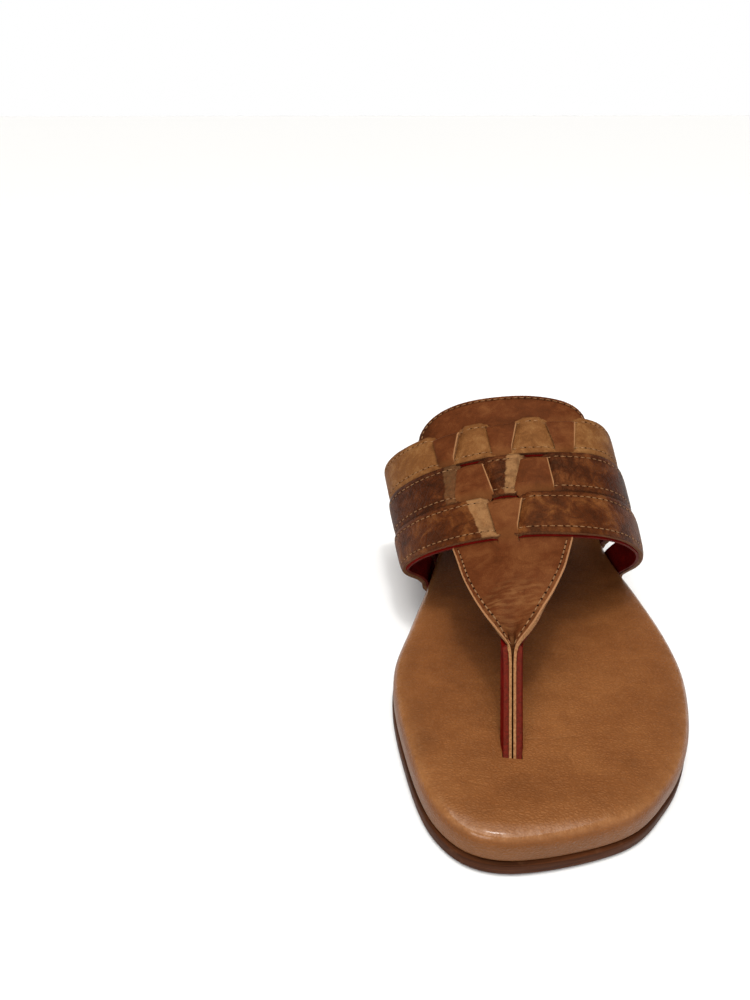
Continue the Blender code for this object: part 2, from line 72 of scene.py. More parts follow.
forward = Vector((-math.sin(CAMERA_TURN) * math.cos(CAMERA_PITCH),
                  math.cos(CAMERA_TURN) * math.cos(CAMERA_PITCH), -math.sin(CAMERA_PITCH)))
level = Vector((math.cos(CAMERA_TURN), math.sin(CAMERA_TURN), 0.0))
down = forward.cross(level)
right = level * math.cos(CAMERA_ROLL) + down * math.sin(CAMERA_ROLL)
top = -(down * math.cos(CAMERA_ROLL) - level * math.sin(CAMERA_ROLL))
eye = bpy.data.objects.new("camera", bpy.data.cameras.new("camera"))
eye.data.lens = CAMERA_LENS
eye.data.sensor_width = 36.0
eye.data.clip_start = 0.01
eye.matrix_world = Matrix.Translation(CAMERA_PLACE) @ Matrix((right, top, -forward)).transposed().to_4x4()
bpy.context.scene.collection.objects.link(eye)
bpy.context.scene.camera = eye
bpy.context.scene.view_settings.view_transform = "Standard"

# the room is bright near the horizon and in front, dim overhead and behind, and the wall that
# the camera itself sees is plain white
room = bpy.data.worlds.new("studio_room")
room.use_nodes = True
bpy.context.scene.world = room
sky = room.node_tree.nodes["Background"]
sky.inputs["Color"].default_value = (1.0, 1.0, 1.0, 1)
new_room_node, link_in_room = room.node_tree.nodes.new, room.node_tree.links.new


def fade(value, start, end, at_start, at_end):
    node = new_room_node("ShaderNodeMapRange")
    for name, number in (("From Min", start), ("From Max", end), ("To Min", at_start), ("To Max", at_end)):
        node.inputs[name].default_value = number
    link_in_room(value, node.inputs["Value"])
    return node.outputs["Result"]


ray_parts = new_room_node("ShaderNodeSeparateXYZ")
link_in_room(new_room_node("ShaderNodeTexCoord").outputs["Generated"], ray_parts.inputs[0])
strength = fade(ray_parts.outputs["Z"], 0.1, 0.28, 0.45, 0.08)
for how, other in (("ADD", fade(ray_parts.outputs["Y"], 0.2, -0.8, 0.0, 0.7)),
                   ("MAXIMUM", new_room_node("ShaderNodeLightPath").outputs["Is Camera Ray"])):
    joined = new_room_node("ShaderNodeMath")
    joined.operation = how
    link_in_room(strength, joined.inputs[0])
    link_in_room(other, joined.inputs[1])
    strength = joined.outputs[0]
link_in_room(strength, sky.inputs["Strength"])

key_light = bpy.data.lights.new("overhead_key", "SUN")
key_light.energy = 2.8
key_light.angle = math.radians(54)
key_light.color = (1.0, 0.985, 0.96)
key_holder = bpy.data.objects.new("overhead_key", key_light)
key_holder.rotation_euler = Vector((0.03, 0.04, -1.0)).to_track_quat("-Z", "Y").to_euler()
bpy.context.scene.collection.objects.link(key_holder)
for name, place, size, power in (("front_softbox", (-0.25, -0.8, 0.5), 0.35, 2.0),
                                 ("top_softbox", (0.02, -0.12, 1.1), 0.12, 2.6)):
    softbox = bpy.data.lights.new(name, "AREA")
    softbox.size = size
    softbox.energy = power
    holder = bpy.data.objects.new(name, softbox)
    holder.location = place
    holder.rotation_euler = (Vector((0, -0.02, 0.03)) - Vector(place)).to_track_quat("-Z", "Y").to_euler()
    bpy.context.scene.collection.objects.link(holder)

floor_level = cad_box[0].z - FLOOR_GAP
floor_mesh = bpy.data.meshes.new("studio_floor")
floor_mesh.from_pydata([(x * FLOOR_SIZE, y * FLOOR_SIZE, floor_level)
                        for x, y in ((-1, -1), (1, -1), (1, 1), (-1, 1))], [], [(0, 1, 2, 3)])
floor = bpy.data.objects.new("studio_floor", floor_mesh)
bpy.context.scene.collection.objects.link(floor)
floor_paint = bpy.data.materials.new("white_floor")
floor_paint.use_nodes = True
floor_paint.node_tree.nodes["Principled BSDF"].inputs["Base Color"].default_value = (0.86, 0.86, 0.855, 1)
floor_paint.node_tree.nodes["Principled BSDF"].inputs["Roughness"].default_value = 0.9
floor_mesh.materials.append(floor_paint)

# ---------------------------------------------------------------------------------------
# Outsole: a dark sheet sole cut to the foot's outline, its edge dyed and rubbed by hand.
# It lies flat under the forefoot and rises to the heel; everything else is stacked on it.
OUTLINE = (
    (-14, -66), (-31.5, -57.5), (-42.2, -31), (-46.8, -5), (-42.8, 20), (-37, 52), (-33.2, 90),
    (-32.6, 135), (-30, 168), (-19, 189), (0, 196), (20, 189), (31, 168), (33.5, 135), (32.5, 100),
    (34.5, 72), (40.8, 45), (45.6, 20), (46.4, -1), (41.5, -25), (32, -43), (17, -57))
OUTSOLE_TOP = 4.5
HEEL_RISE, RISE_START, RISE_END = 8.0, 80.0, 165.0
SPINE = np.array(((-8.0, -28.0), (0.0, 160.0)))
SIDE_STEPS = 120
sole_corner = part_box("outsole")[0]
outline_corner = np.array(OUTLINE, float).min(axis=0)
# the middle of the ball of the foot, from which the pattern is drawn, in the frame's millimetres
BALL = np.array((sole_corner.x / MM - outline_corner[0], sole_corner.y / MM - outline_corner[1], 0.0))


def ease(share):
    share = np.clip(share, 0.0, 1.0)
    return share * share * (3.0 - 2.0 * share)


def rise(y):
    return HEEL_RISE * ease((np.asarray(y) - RISE_START) / (RISE_END - RISE_START))


def spline_span(a, b, c, d, t):
    """The soft curve from b to c, drawn towards a and d."""
    return 0.5 * (2 * b + (c - a) * t + (2 * a - 5 * b + 4 * c - d) * t ** 2
                  + (3 * b - a - 3 * c + d) * t ** 3)


def spline_loop(knots, steps=24):
    knots = np.array(knots, float)
    t = np.linspace(0, 1, steps, endpoint=False)[:, None]
    return np.concatenate([spline_span(*(knots[(i + k) % len(knots)] for k in (-1, 0, 1, 2)), t)
                           for i in range(len(knots))])


def two_sides(loop):
    loop = np.roll(loop, -loop[:, 1].argmin(), axis=0)
    far = loop[:, 1].argmax()
    return loop[:far + 1], np.concatenate([loop[far:], loop[:1]])[::-1]


def lengths(chain):
    """Length along a line of points, up to each of them."""
    return np.r_[0, np.cumsum(np.linalg.norm(np.diff(chain, axis=0), axis=1))]


def read_off(at, run, values):
    """Rows of values, known at the lengths in run, at other lengths."""
    return np.column_stack([np.interp(at, run, values[:, k]) for k in range(values.shape[1])])


def even_chain(chain, steps):
    run = lengths(chain)
    return read_off(np.linspace(0, run[-1], steps + 1), run, chain)


MEDIAL_EDGE, LATERAL_EDGE = two_sides(spline_loop(OUTLINE))
SOLE_LOOP = np.concatenate([even_chain(MEDIAL_EDGE, SIDE_STEPS),
                            even_chain(LATERAL_EDGE, SIDE_STEPS)[-2:0:-1]])


def inward(loop, distance):
    along = np.roll(loop, -1, 0) - np.roll(loop, 1, 0)
    along = along / np.linalg.norm(along, axis=1)[:, None]
    normal = np.column_stack([-along[:, 1], along[:, 0]])
    if (normal * (loop.mean(0) - loop)).sum() < 0:
        normal = -normal
    return loop + normal * distance


def to_spine(loop, reach, spine=SPINE):
    run = spine[1] - spine[0]
    share = np.clip(((loop - spine[0]) @ run) / (run @ run), 0, 1)[:, None]
    foot = spine[0] + share * run
    return foot + (loop - foot) * reach


def finish_mesh(name, points, faces, materials, smooth=True, mark=()):
    """A piece from pattern millimetres, its faces turned out; mark holds named values per point."""
    mesh = bpy.data.meshes.new(name)
    mesh.from_pydata(((np.asarray(points) + BALL) * MM).tolist(), [], faces)
    for label, values in mark:
        mesh.attributes.new(label, "FLOAT", "POINT").data.foreach_set("value", np.asarray(values, np.float32))
    body = bmesh.new()
    body.from_mesh(mesh)
    bmesh.ops.recalc_face_normals(body, faces=body.faces)
    body.to_mesh(mesh)
    body.free()
    for finish in materials:
        mesh.materials.append(finish)
    if smooth:
        mesh.shade_smooth()
    piece = bpy.data.objects.new(name, mesh)
    bpy.context.scene.collection.objects.link(piece)
    return piece


def ring_faces(count, rings):
    faces = []
    for k in range(rings - 1):
        for i in range(count):
            j = (i + 1) % count
            faces.append((k * count + i, k * count + j, (k + 1) * count + j, (k + 1) * count + i))
    for start in (0, (rings - 1) * count):
        for i in range(count // 2):
            ends = [start + e for e in (i, i + 1, count - i - 1, (count - i) % count)]
            faces.append(tuple(dict.fromkeys(ends)))
    return faces


def smooth_profile(profile, steps):
    """A soft curve through (inset, height) points, evenly spaced."""
    profile = np.array(profile, float)
    padded = np.concatenate([[2 * profile[0] - profile[1]], profile, [2 * profile[-1] - profile[-2]]])
    t = np.linspace(0, 1, 8, endpoint=False)[:, None]
    points = [spline_span(a, b, c, d, t) for a, b, c, d in zip(padded, padded[1:], padded[2:], padded[3:])]
    return even_chain(np.concatenate(points + [profile[-1:]]), steps)


def sole_layer(name, stations, materials, loop=SOLE_LOOP, spine=SPINE, shape=None, mark=()):
    """A layer of the sole: stations are (inset, share of the way from the spine, height)."""
    rings = []
    for inset, reach, height in stations:
        flat = to_spine(inward(loop, inset), reach, spine)
        z = height + rise(flat[:, 1])
        if shape:
            z = z + shape(flat, inset, reach, height)
        rings.append(np.column_stack([flat, z]))
    return finish_mesh(name, np.concatenate(rings), ring_faces(len(loop), len(rings)), materials, mark=mark)


def new_material(name, roughness=0.5, specular=0.5):
    made = bpy.data.materials.new(name)
    made.use_nodes = True
    shader = made.node_tree.nodes["Principled BSDF"]
    shader.inputs["Roughness"].default_value = roughness
    shader.inputs["Specular IOR Level"].default_value = specular
    shader.inputs["Specular Tint"].default_value = (1.0, 0.66, 0.36, 1.0)
    return made, made.node_tree, shader


def add_node(tree, kind, **values):
    node = tree.nodes.new(kind)
    for key, value in values.items():
        if key in node.inputs:
            node.inputs[key].default_value = value
        else:
            setattr(node, key, value)
    return node


def noise(tree, where, **values):
    node = add_node(tree, "ShaderNodeTexNoise", **values)
    tree.links.new(where, node.inputs["Vector"])
    return node


def emboss(tree, shader, height, strength, distance):
    """Raises the surface by a height that changes over it."""
    relief = add_node(tree, "ShaderNodeBump", Strength=strength, Distance=distance)
    tree.links.new(height, relief.inputs["Height"])
    tree.links.new(relief.outputs["Normal"], shader.inputs["Normal"])


def ramp(tree, value, stops):
    node = tree.nodes.new("ShaderNodeValToRGB")
    while len(node.color_ramp.elements) < len(stops):
        node.color_ramp.elements.new(0.5)
    for element, (place, colour) in zip(node.color_ramp.elements, stops):
        element.position = place
        element.color = (*colour, 1.0) if len(colour) == 3 else colour
    tree.links.new(value, node.inputs["Fac"])
    return node.outputs["Color"]


def mix_colour(tree, share, first, second, blend="MIX"):
    node = add_node(tree, "ShaderNodeMix", data_type="RGBA", blend_type=blend)
    for name, value in (("Factor", share), ("A", first), ("B", second)):
        socket = node.inputs[name]
        if isinstance(value, bpy.types.NodeSocket):
            tree.links.new(value, socket)
        elif socket.type == "VALUE":
            socket.default_value = value
        else:
            socket.default_value = (*value, 1.0)
    return node.outputs["Result"]


def maths(tree, how, first, second=0.5, third=None):
    node = add_node(tree, "ShaderNodeMath", operation=how)
    for socket, value in zip(node.inputs, (first, second, third)):
        if isinstance(value, bpy.types.NodeSocket):
            tree.links.new(value, socket)
        elif value is not None:
            socket.default_value = value
    return node.outputs[0]


def srgb(red, green, blue):
    """Shader colour of a dye that looks like this swatch, 0 to 255, under the studio's light."""
    return tuple((c / 12.92 if c <= 0.04045 else ((c + 0.055) / 1.055) ** 2.4) / STUDIO_LIGHT
                 for c in (red / 255, green / 255, blue / 255))


# One group for every leather here: pores and pebbled grain, soft creases, and blotches of tone.
def leather_group():
    tree = bpy.data.node_groups.new("leather_surface", "ShaderNodeTree")
    for name, kind, value in (("Grain size", "NodeSocketFloat", 1.0), ("Crumple", "NodeSocketFloat", 0.3),
                              ("Stretch", "NodeSocketVector", (1, 1, 1))):
        tree.interface.new_socket(name, in_out="INPUT", socket_type=kind).default_value = value
    for name in ("Height", "Blotch", "Fine", "Crease", "Mottle"):
        tree.interface.new_socket(name, in_out="OUTPUT", socket_type="NodeSocketFloat")
    given, out = tree.nodes.new("NodeGroupInput"), tree.nodes.new("NodeGroupOutput")
    place = add_node(tree, "ShaderNodeTexCoord").outputs["Object"]
    stretched = add_node(tree, "ShaderNodeVectorMath", operation="MULTIPLY")
    tree.links.new(place, stretched.inputs[0])
    tree.links.new(given.outputs["Stretch"], stretched.inputs[1])
    sized = add_node(tree, "ShaderNodeVectorMath", operation="SCALE")
    tree.links.new(stretched.outputs[0], sized.inputs[0])
    tree.links.new(given.outputs["Grain size"], sized.inputs["Scale"])
    bend = noise(tree, sized.outputs[0], Scale=900.0, Detail=3.0)
    pebble = add_node(tree, "ShaderNodeTexVoronoi", Scale=1400.0, feature="DISTANCE_TO_EDGE")
    shaken = add_node(tree, "ShaderNodeVectorMath", operation="MULTIPLY_ADD")
    tree.links.new(bend.outputs["Color"], shaken.inputs[0])
    shaken.inputs[1].default_value = (0.0006, 0.0006, 0.0006)
    tree.links.new(sized.outputs[0], shaken.inputs[2])
    tree.links.new(shaken.outputs[0], pebble.inputs["Vector"])
    pores = maths(tree, "MINIMUM", maths(tree, "MULTIPLY", pebble.outputs["Distance"], 3.0), 1.0)
    crumple = add_node(tree, "ShaderNodeTexVoronoi", Scale=330.0, feature="DISTANCE_TO_EDGE")
    wander = noise(tree, sized.outputs[0], Scale=260.0, Detail=4.0)
    pushed = add_node(tree, "ShaderNodeVectorMath", operation="MULTIPLY_ADD")
    tree.links.new(wander.outputs["Color"], pushed.inputs[0])
    pushed.inputs[1].default_value = (0.004, 0.004, 0.004)
    tree.links.new(sized.outputs[0], pushed.inputs[2])
    tree.links.new(pushed.outputs[0], crumple.inputs["Vector"])
    crease = maths(tree, "MINIMUM", maths(tree, "MULTIPLY", crumple.outputs["Distance"], 7.0), 1.0)
    blotch = noise(tree, place, Scale=38.0, Detail=5.0, Roughness=0.6)
    mottle = noise(tree, sized.outputs[0], Scale=150.0, Detail=8.0, Roughness=0.68, Distortion=0.6)
    tree.links.new(mottle.outputs["Fac"], out.inputs["Mottle"])
    raised = maths(tree, "MULTIPLY", crease, given.outputs["Crumple"])
    height = maths(tree, "MULTIPLY_ADD", pores, 0.35, raised)
    fine = maths(tree, "MULTIPLY_ADD", bend.outputs["Fac"], 0.3, height)
    tree.links.new(fine, out.inputs["Height"])
    tree.links.new(blotch.outputs["Fac"], out.inputs["Blotch"])
    tree.links.new(pores, out.inputs["Fine"])
    tree.links.new(crease, out.inputs["Crease"])
    return tree


LEATHER = leather_group()


def leather(name, dark, mid, light, grain=1.0, crumple=0.3, stretch=(1, 1, 1), bump=0.25, roughness=0.42,
            coat=0.12, mottle=0.4, specular=0.1):
    """A dyed leather; returns the material, its tree, its shader and the dyed colour's socket."""
    made, tree, shader = new_material(name, roughness, specular)
    surface = add_node(tree, "ShaderNodeGroup", node_tree=LEATHER)
    surface.inputs["Grain size"].default_value = grain
    surface.inputs["Crumple"].default_value = crumple
    surface.inputs["Stretch"].default_value = stretch
    uneven = maths(tree, "MULTIPLY_ADD", surface.outputs["Mottle"], mottle,
                   maths(tree, "MULTIPLY", surface.outputs["Blotch"], 1.0 - mottle))
    dyed = ramp(tree, uneven, ((0.36, dark), (0.5, mid), (0.64, light)))
    # creases are painted darker, towards half the dark dye: a painted shade in the folds
    folds = maths(tree, "MULTIPLY", maths(tree, "SUBTRACT", 1.0, surface.outputs["Crease"]), 0.5 * crumple)
    deep = mix_colour(tree, folds, dyed, tuple(c * 0.5 for c in dark))
    # darker in the pores of the grain
    pore_darkened = mix_colour(tree, maths(tree, "MULTIPLY_ADD", surface.outputs["Fine"], -0.25, 0.25), deep,
                       tuple(c * 0.6 for c in dark))
    tree.links.new(pore_darkened, shader.inputs["Base Color"])
    gloss = maths(tree, "MULTIPLY_ADD", surface.outputs["Blotch"], 0.25, roughness - 0.1)
    tree.links.new(gloss, shader.inputs["Roughness"])
    emboss(tree, shader, surface.outputs["Height"], bump, 0.0004)
    shader.inputs["Coat Weight"].default_value = coat
    shader.inputs["Coat Roughness"].default_value = 0.32
    return made, tree, shader, pore_darkened, surface


def outsole_edge():
    """Dark dyed sole leather with fine lines along the cut edge and dry scuffs."""
    made, tree, shader = new_material("outsole_dark_edge", 0.6, 0.12)
    place = add_node(tree, "ShaderNodeTexCoord").outputs["Object"]
    layers = add_node(tree, "ShaderNodeMapping")
    layers.inputs["Scale"].default_value = (60, 60, 2600)
    tree.links.new(place, layers.inputs["Vector"])
    lines = noise(tree, layers.outputs["Vector"], Scale=1.0, Detail=4.0)
    scuffs = noise(tree, place, Scale=170.0, Detail=6.0, Roughness=0.7)
    base = ramp(tree, lines.outputs["Fac"], ((0.3, srgb(48, 21, 9)), (0.7, srgb(82, 42, 20))))
    rubbed = mix_colour(tree, ramp(tree, scuffs.outputs["Fac"], ((0.58, (0, 0, 0)), (0.75, (0.5, 0.5, 0.5)))),
                        base, srgb(116, 76, 52))
    tree.links.new(rubbed, shader.inputs["Base Color"])
    rough = maths(tree, "MULTIPLY_ADD", scuffs.outputs["Fac"], 0.4, 0.38)
    tree.links.new(rough, shader.inputs["Roughness"])
    emboss(tree, shader, maths(tree, "MULTIPLY_ADD", lines.outputs["Fac"], 0.6, scuffs.outputs["Fac"]),
           0.35, 0.0003)
    return made


edge_dark = outsole_edge()
outsole_edge_profile = smooth_profile(((2.2, 0.0), (0.7, 0.12), (0.1, 0.7), (0.0, 2.2), (0.1, 3.8),
                                       (0.6, OUTSOLE_TOP - 0.12), (2.2, OUTSOLE_TOP)), 14)
outsole_stations = [(9, 0.1, 0.0), (9, 0.5, 0.0), (9, 1.0, 0.0)]
outsole_stations += [(inset, 1.0, height) for inset, height in outsole_edge_profile]
outsole_stations += [(9, 1.0, OUTSOLE_TOP), (9, 0.5, OUTSOLE_TOP), (9, 0.1, OUTSOLE_TOP)]
outsole = sole_layer("outsole_sheet", outsole_stations, [edge_dark])
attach(outsole, "root")
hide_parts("outsole")

# ---------------------------------------------------------------------------------------
# Heel: a low wedge of stacked leather under the rear of the outsole and a rubber top lift,
# trimmed together to one outline and held by four small nails.
HEEL_BREAST = 128.0
HEEL_INSET = 1.5
TOP_LIFT = 3.0
HEEL_SPINE = np.array(((0.0, 145.0), (0.0, 165.0)))


def heel_loop():
    sides = []
    for chain in two_sides(inward(SOLE_LOOP, HEEL_INSET)):
        start = np.array([[np.interp(HEEL_BREAST, chain[:, 1], chain[:, 0]), HEEL_BREAST]])
        rest = chain[chain[:, 1] > HEEL_BREAST + 0.5]
        breast = np.column_stack([np.linspace(0, start[0, 0], 9)[:-1], np.full(8, HEEL_BREAST)])
        breast[0, 1] -= 0.005
        sides.append(np.concatenate([breast, even_chain(np.concatenate([start, rest]), 50)]))
    return np.concatenate([sides[0], sides[1][-2:0:-1]])


def heel_layer(name, low, high, on_outsole, finish):
    loop = heel_loop()
    rings = []
    stations = [(0.12, low, False), (0.9, low, False), (0.985, low, False), (1.0, low + 0.3, False)]
    stations += [(1.0, high - 0.2, on_outsole)]
    stations += [(reach, high, on_outsole) for reach in (0.99, 0.9, 0.12)]
    for shrink, height, lifted in stations:
        flat = to_spine(loop, shrink, HEEL_SPINE)
        rings.append(np.column_stack([flat, height + rise(flat[:, 1]) * lifted]))
    piece = finish_mesh(name, np.concatenate(rings), ring_faces(len(loop), len(rings)), [finish])
    piece.data.set_sharp_from_angle(angle=math.radians(50))
    return piece


def stacked_leather():
    made, tree, shader = new_material("stacked_heel_leather", 0.5, 0.4)
    place = add_node(tree, "ShaderNodeTexCoord").outputs["Object"]
    height = add_node(tree, "ShaderNodeSeparateXYZ")
    tree.links.new(place, height.inputs[0])
    lifts = maths(tree, "FRACT", maths(tree, "MULTIPLY", height.outputs["Z"], 420.0))
    joint = ramp(tree, lifts, ((0.0, (0, 0, 0)), (0.1, (1, 1, 1)), (0.92, (1, 1, 1)), (1.0, (0, 0, 0))))
    fibre = noise(tree, place, Scale=500.0, Detail=5.0)
    tone = ramp(tree, fibre.outputs["Fac"], ((0.3, srgb(64, 34, 18)), (0.7, srgb(98, 58, 34))))
    tree.links.new(mix_colour(tree, joint, srgb(30, 15, 8), tone), shader.inputs["Base Color"])
    emboss(tree, shader, maths(tree, "MULTIPLY_ADD", fibre.outputs["Fac"], 0.3, joint), 0.4, 0.0003)
    return made


heel_stack = heel_layer("heel_stack", TOP_LIFT + 0.1, -0.05, True, stacked_leather())
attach(heel_stack, "root")
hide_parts("heel_block")
heel_lift = heel_layer("heel_rubber_lift", 0.0, TOP_LIFT, False, edge_dark)
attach(heel_lift, "root")
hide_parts("heel_top_lift")


def plain_metal():
    made, tree, shader = new_material("shank_and_nail_steel", 0.35)
    shader.inputs["Metallic"].default_value = 1.0
    place = add_node(tree, "ShaderNodeTexCoord").outputs["Object"]
    drawn = noise(tree, place, Scale=900.0, Detail=3.0)
    tree.links.new(ramp(tree, drawn.outputs["Fac"], ((0.3, (0.34, 0.34, 0.35)), (0.7, (0.6, 0.6, 0.61)))),
                   shader.inputs["Base Color"])
    tree.links.new(maths(tree, "MULTIPLY_ADD", drawn.outputs["Fac"], 0.3, 0.22), shader.inputs["Roughness"])
    return made


def pressed_board():
    made, tree, shader = new_material("pressed_fibre_board", 0.85, 0.2)
    place = add_node(tree, "ShaderNodeTexCoord").outputs["Object"]
    fibres = noise(tree, place, Scale=700.0, Detail=6.0, Roughness=0.7)
    tree.links.new(ramp(tree, fibres.outputs["Fac"], ((0.3, srgb(128, 104, 74)), (0.7, srgb(182, 156, 118)))),
                   shader.inputs["Base Color"])
    emboss(tree, shader, fibres.outputs["Fac"], 0.3, 0.0003)
    return made


def latex_foam():
    made, tree, shader = new_material("latex_foam", 0.9, 0.2)
    place = add_node(tree, "ShaderNodeTexCoord").outputs["Object"]
    cells = add_node(tree, "ShaderNodeTexVoronoi", Scale=1100.0)
    tree.links.new(place, cells.inputs["Vector"])
    tone = ramp(tree, cells.outputs["Distance"], ((0.1, srgb(190, 176, 138)), (0.5, srgb(232, 222, 190))))
    tree.links.new(tone, shader.inputs["Base Color"])
    emboss(tree, shader, cells.outputs["Distance"], 0.5, 0.0003)
    return made


# The hidden layers keep their solid shapes: board and filler, foam, shank and nails.
metal, fibre_board, foam_cells = plain_metal(), pressed_board(), latex_foam()
for node, finish, slot in (("steel_shank", metal, "steel"), ("heel_nail_1", metal, "steel"),
                           ("heel_nail_2", metal, "steel"), ("heel_nail_3", metal, "steel"),
                           ("heel_nail_4", metal, "steel"), ("bottom_filler", fibre_board, "board"),
                           ("insole_board", fibre_board, "board"), ("foam_cushion", foam_cells, "foam")):
    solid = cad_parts[node]
    solid.data.materials.clear()
    solid.data.materials.append(finish)

# ---------------------------------------------------------------------------------------
# Vamp: the shape that the straps and the panel were pulled over. Cross-sections change evenly
# from the front strap to the rear one; lengths across are measured from the ridge of the instep.
SECTION_FRONT, SECTION_REAR = 20.7, 72.8
RIDGE_X = 3.0
RIDGE_Z = (53.0, 71.3)
MEDIAL = dict(side=-1, bulge_x=(-47.7, -58.2), bulge_z=(22.7, 40.0), roundness=(1.7, 1.7),
              foot_y=(49.0, 105.0), slant=2.2)
LATERAL = dict(side=1, bulge_x=(41.0, 31.8), bulge_z=(21.9, 44.9), roundness=(2.07, 2.9),
               foot_y=(62.5, 129.5), slant=1.64)
CORNER_RADIUS = 3.5
CORNER_SET = 0.3                # the strap turns in this far inside the sole's edge
TUCK = 11.0
SECTION_STEPS = 320
CROWN = (-60, 40)               # lengths across between which the arch is smoothed
LAID = OUTSOLE_TOP + 0.3        # straps lie on the outsole at this height
sections = {}


def between(pair, along):
    return pair[0] + (pair[1] - pair[0]) * (along - SECTION_FRONT) / (SECTION_REAR - SECTION_FRONT)


def edge_x(side, y):
    chain = MEDIAL_EDGE if side < 0 else LATERAL_EDGE
    return np.interp(y, chain[:, 1], chain[:, 0])


def half_section(side, along):
    out, foot = side["side"], between(side["foot_y"], along)
    ridge_z, bulge_x = between(RIDGE_Z, along), between(side["bulge_x"], along)
    bulge_z, power = between(side["bulge_z"], along), between(side["roundness"], along)
    edge, low = edge_x(out, foot), LAID + float(rise(foot))
    angle = np.linspace(math.pi / 2, 0, 61)
    x = RIDGE_X + (bulge_x - RIDGE_X) * np.abs(np.cos(angle)) ** (2 / power)
    z = bulge_z + (ridge_z - bulge_z) * np.abs(np.sin(angle)) ** (2 / power)
    x[0], z[-1] = RIDGE_X, bulge_z
    turn_x, turn_z = edge + out * (CORNER_RADIUS - CORNER_SET), low + CORNER_RADIUS
    t = np.linspace(0, 1, 21)[1:]
    pull = 0.45 * (bulge_z - turn_z)
    x_fall = (1 - t) ** 2 * (1 + 2 * t) * bulge_x + t ** 2 * (3 - 2 * t) * turn_x
    z_fall = ((1 - t) ** 3 * bulge_z + 3 * t * (1 - t) ** 2 * (bulge_z - pull)
              + 3 * t ** 2 * (1 - t) * (turn_z + pull) + t ** 3 * turn_z)
    bend = np.linspace(0, math.pi / 2, 9)[1:]
    x_turn = edge - out * CORNER_SET + out * CORNER_RADIUS * np.cos(bend)
    z_turn = turn_z - CORNER_RADIUS * np.sin(bend)
    x = np.concatenate([x, x_fall, x_turn, [edge - out * TUCK]])
    z = np.concatenate([z, z_fall, z_turn, [low]])
    run = np.r_[0, np.cumsum(np.hypot(np.diff(x), np.diff(z)))]
    free = run[-2 - len(bend)]
    share = np.minimum(run / free, 1.0) ** side["slant"]
    spread = (side["foot_y"][1] - side["foot_y"][0]) / (SECTION_REAR - SECTION_FRONT) - 1.0
    return np.column_stack([x, along + (foot - along) * share, z, share * spread]), run


def section(along):
    """Points of the section from medial end to lateral end, normals, and lengths from the ridge."""
    key = round(along, 3)
    if key not in sections:
        medial, medial_run = half_section(MEDIAL, along)
        lateral, lateral_run = half_section(LATERAL, along)
        run = np.r_[-medial_run[::-1], lateral_run[1:]]
        even = np.linspace(run[0], run[-1], SECTION_STEPS)
        line = read_off(even, run, np.concatenate([medial[::-1], lateral[1:]]))
        crown = (even[1:-1] > CROWN[0]) & (even[1:-1] < CROWN[1])
        for _ in range(60):
            softened = (line[:-2] + 2 * line[1:-1] + line[2:]) / 4
            line[1:-1] = np.where(crown[:, None], softened, line[1:-1])
        step = np.gradient(line[:, [0, 2]], axis=0)
        step /= np.linalg.norm(step, axis=1)[:, None]
        normals = np.column_stack([-step[:, 1], np.zeros(len(step)), step[:, 0]])
        sections[key] = line, normals, even
    return sections[key]


def on_vamp_normals(across, along):
    _, normals, run = section(along)
    out = read_off(across, run, normals)
    return out / np.linalg.norm(out, axis=1)[:, None]


def on_vamp(across, along, height, centre=None):
    """Points at lengths across the section at one place along the instep, raised by a height.

    With the centre of a strap given, the strap keeps its width where the sections spread apart.
    """
    line, _, run = section(along)
    place = read_off(across, run, line)
    if centre is not None:
        place[:, 1] -= (along - centre) * place[:, 3]
    return place[:, :3] + on_vamp_normals(across, along) * np.asarray(height)[..., None]


# The weave: in each row some cells between the slits pass over the strap, the others under it.
ROWS = {"front_strap": (20.7, 37.1), "middle_strap": (37.9, 54.9), "rear_strap": (55.7, 72.7)}
SLITS = (                       # for each row, length across at its front and at its rear, six lines
    ((-32.0, -36.5), (-26.0, -30.0), (-18.7, -22.5), (-11.8, -9.2), (-4.0, -3.0), (2.0, 4.0)),
    ((-40.0, -40.5), (-33.7, -32.8), (-19.2, -24.0), (-12.7, -9.3), (1.4, -0.9), (7.0, 8.0)),
    ((-40.5, -44.0), (-34.4, -31.8), (-19.8, -22.7), (-12.9, -10.0), (2.9, -1.0), (9.5, 11.3)))
OVER = ((3,), (2, 4), (1, 3, 5))  # cells, counted from the medial edge, that pass over each strap
STRAP_THICK, LINING_THICK = 1.5, 0.95
PRESSED = 0.9                   # how far a strip presses the strap down
PANEL_THICK, PANEL_LINING, POST_LINING = 1.5, 0.9, 1.45
SUNK = -(STRAP_THICK + LINING_THICK) - 0.1   # top of the panel where it passes under a strap
PROUD = PANEL_THICK - PRESSED + 0.05         # top of the panel where it passes over a strap


def slit_line(row, line, along):
    low, high = list(ROWS.values())[row]
    share = np.clip((along - low) / (high - low), 0, 1)
    return SLITS[row][line][0] + (SLITS[row][line][1] - SLITS[row][line][0]) * share


def under_strip(row, across, along, margin, fade):
    """1 where a strip covers the strap, fading to 0 at the margin outside its slits."""
    cover = np.zeros_like(across)
    for cell in OVER[row]:
        medial_slit, lateral_slit = slit_line(row, cell - 1, along), slit_line(row, cell, along)
        inside = np.minimum(across - (medial_slit - margin), (lateral_slit + margin) - across)
        cover = np.maximum(cover, ease(inside / fade))
    return cover


def sheet_faces(rows, columns):
    faces = []
    for r in range(rows - 1):
        for c in range(columns - 1):
            a = r * columns + c
            faces.append((a, a + columns, a + columns + 1, a + 1))
    return faces


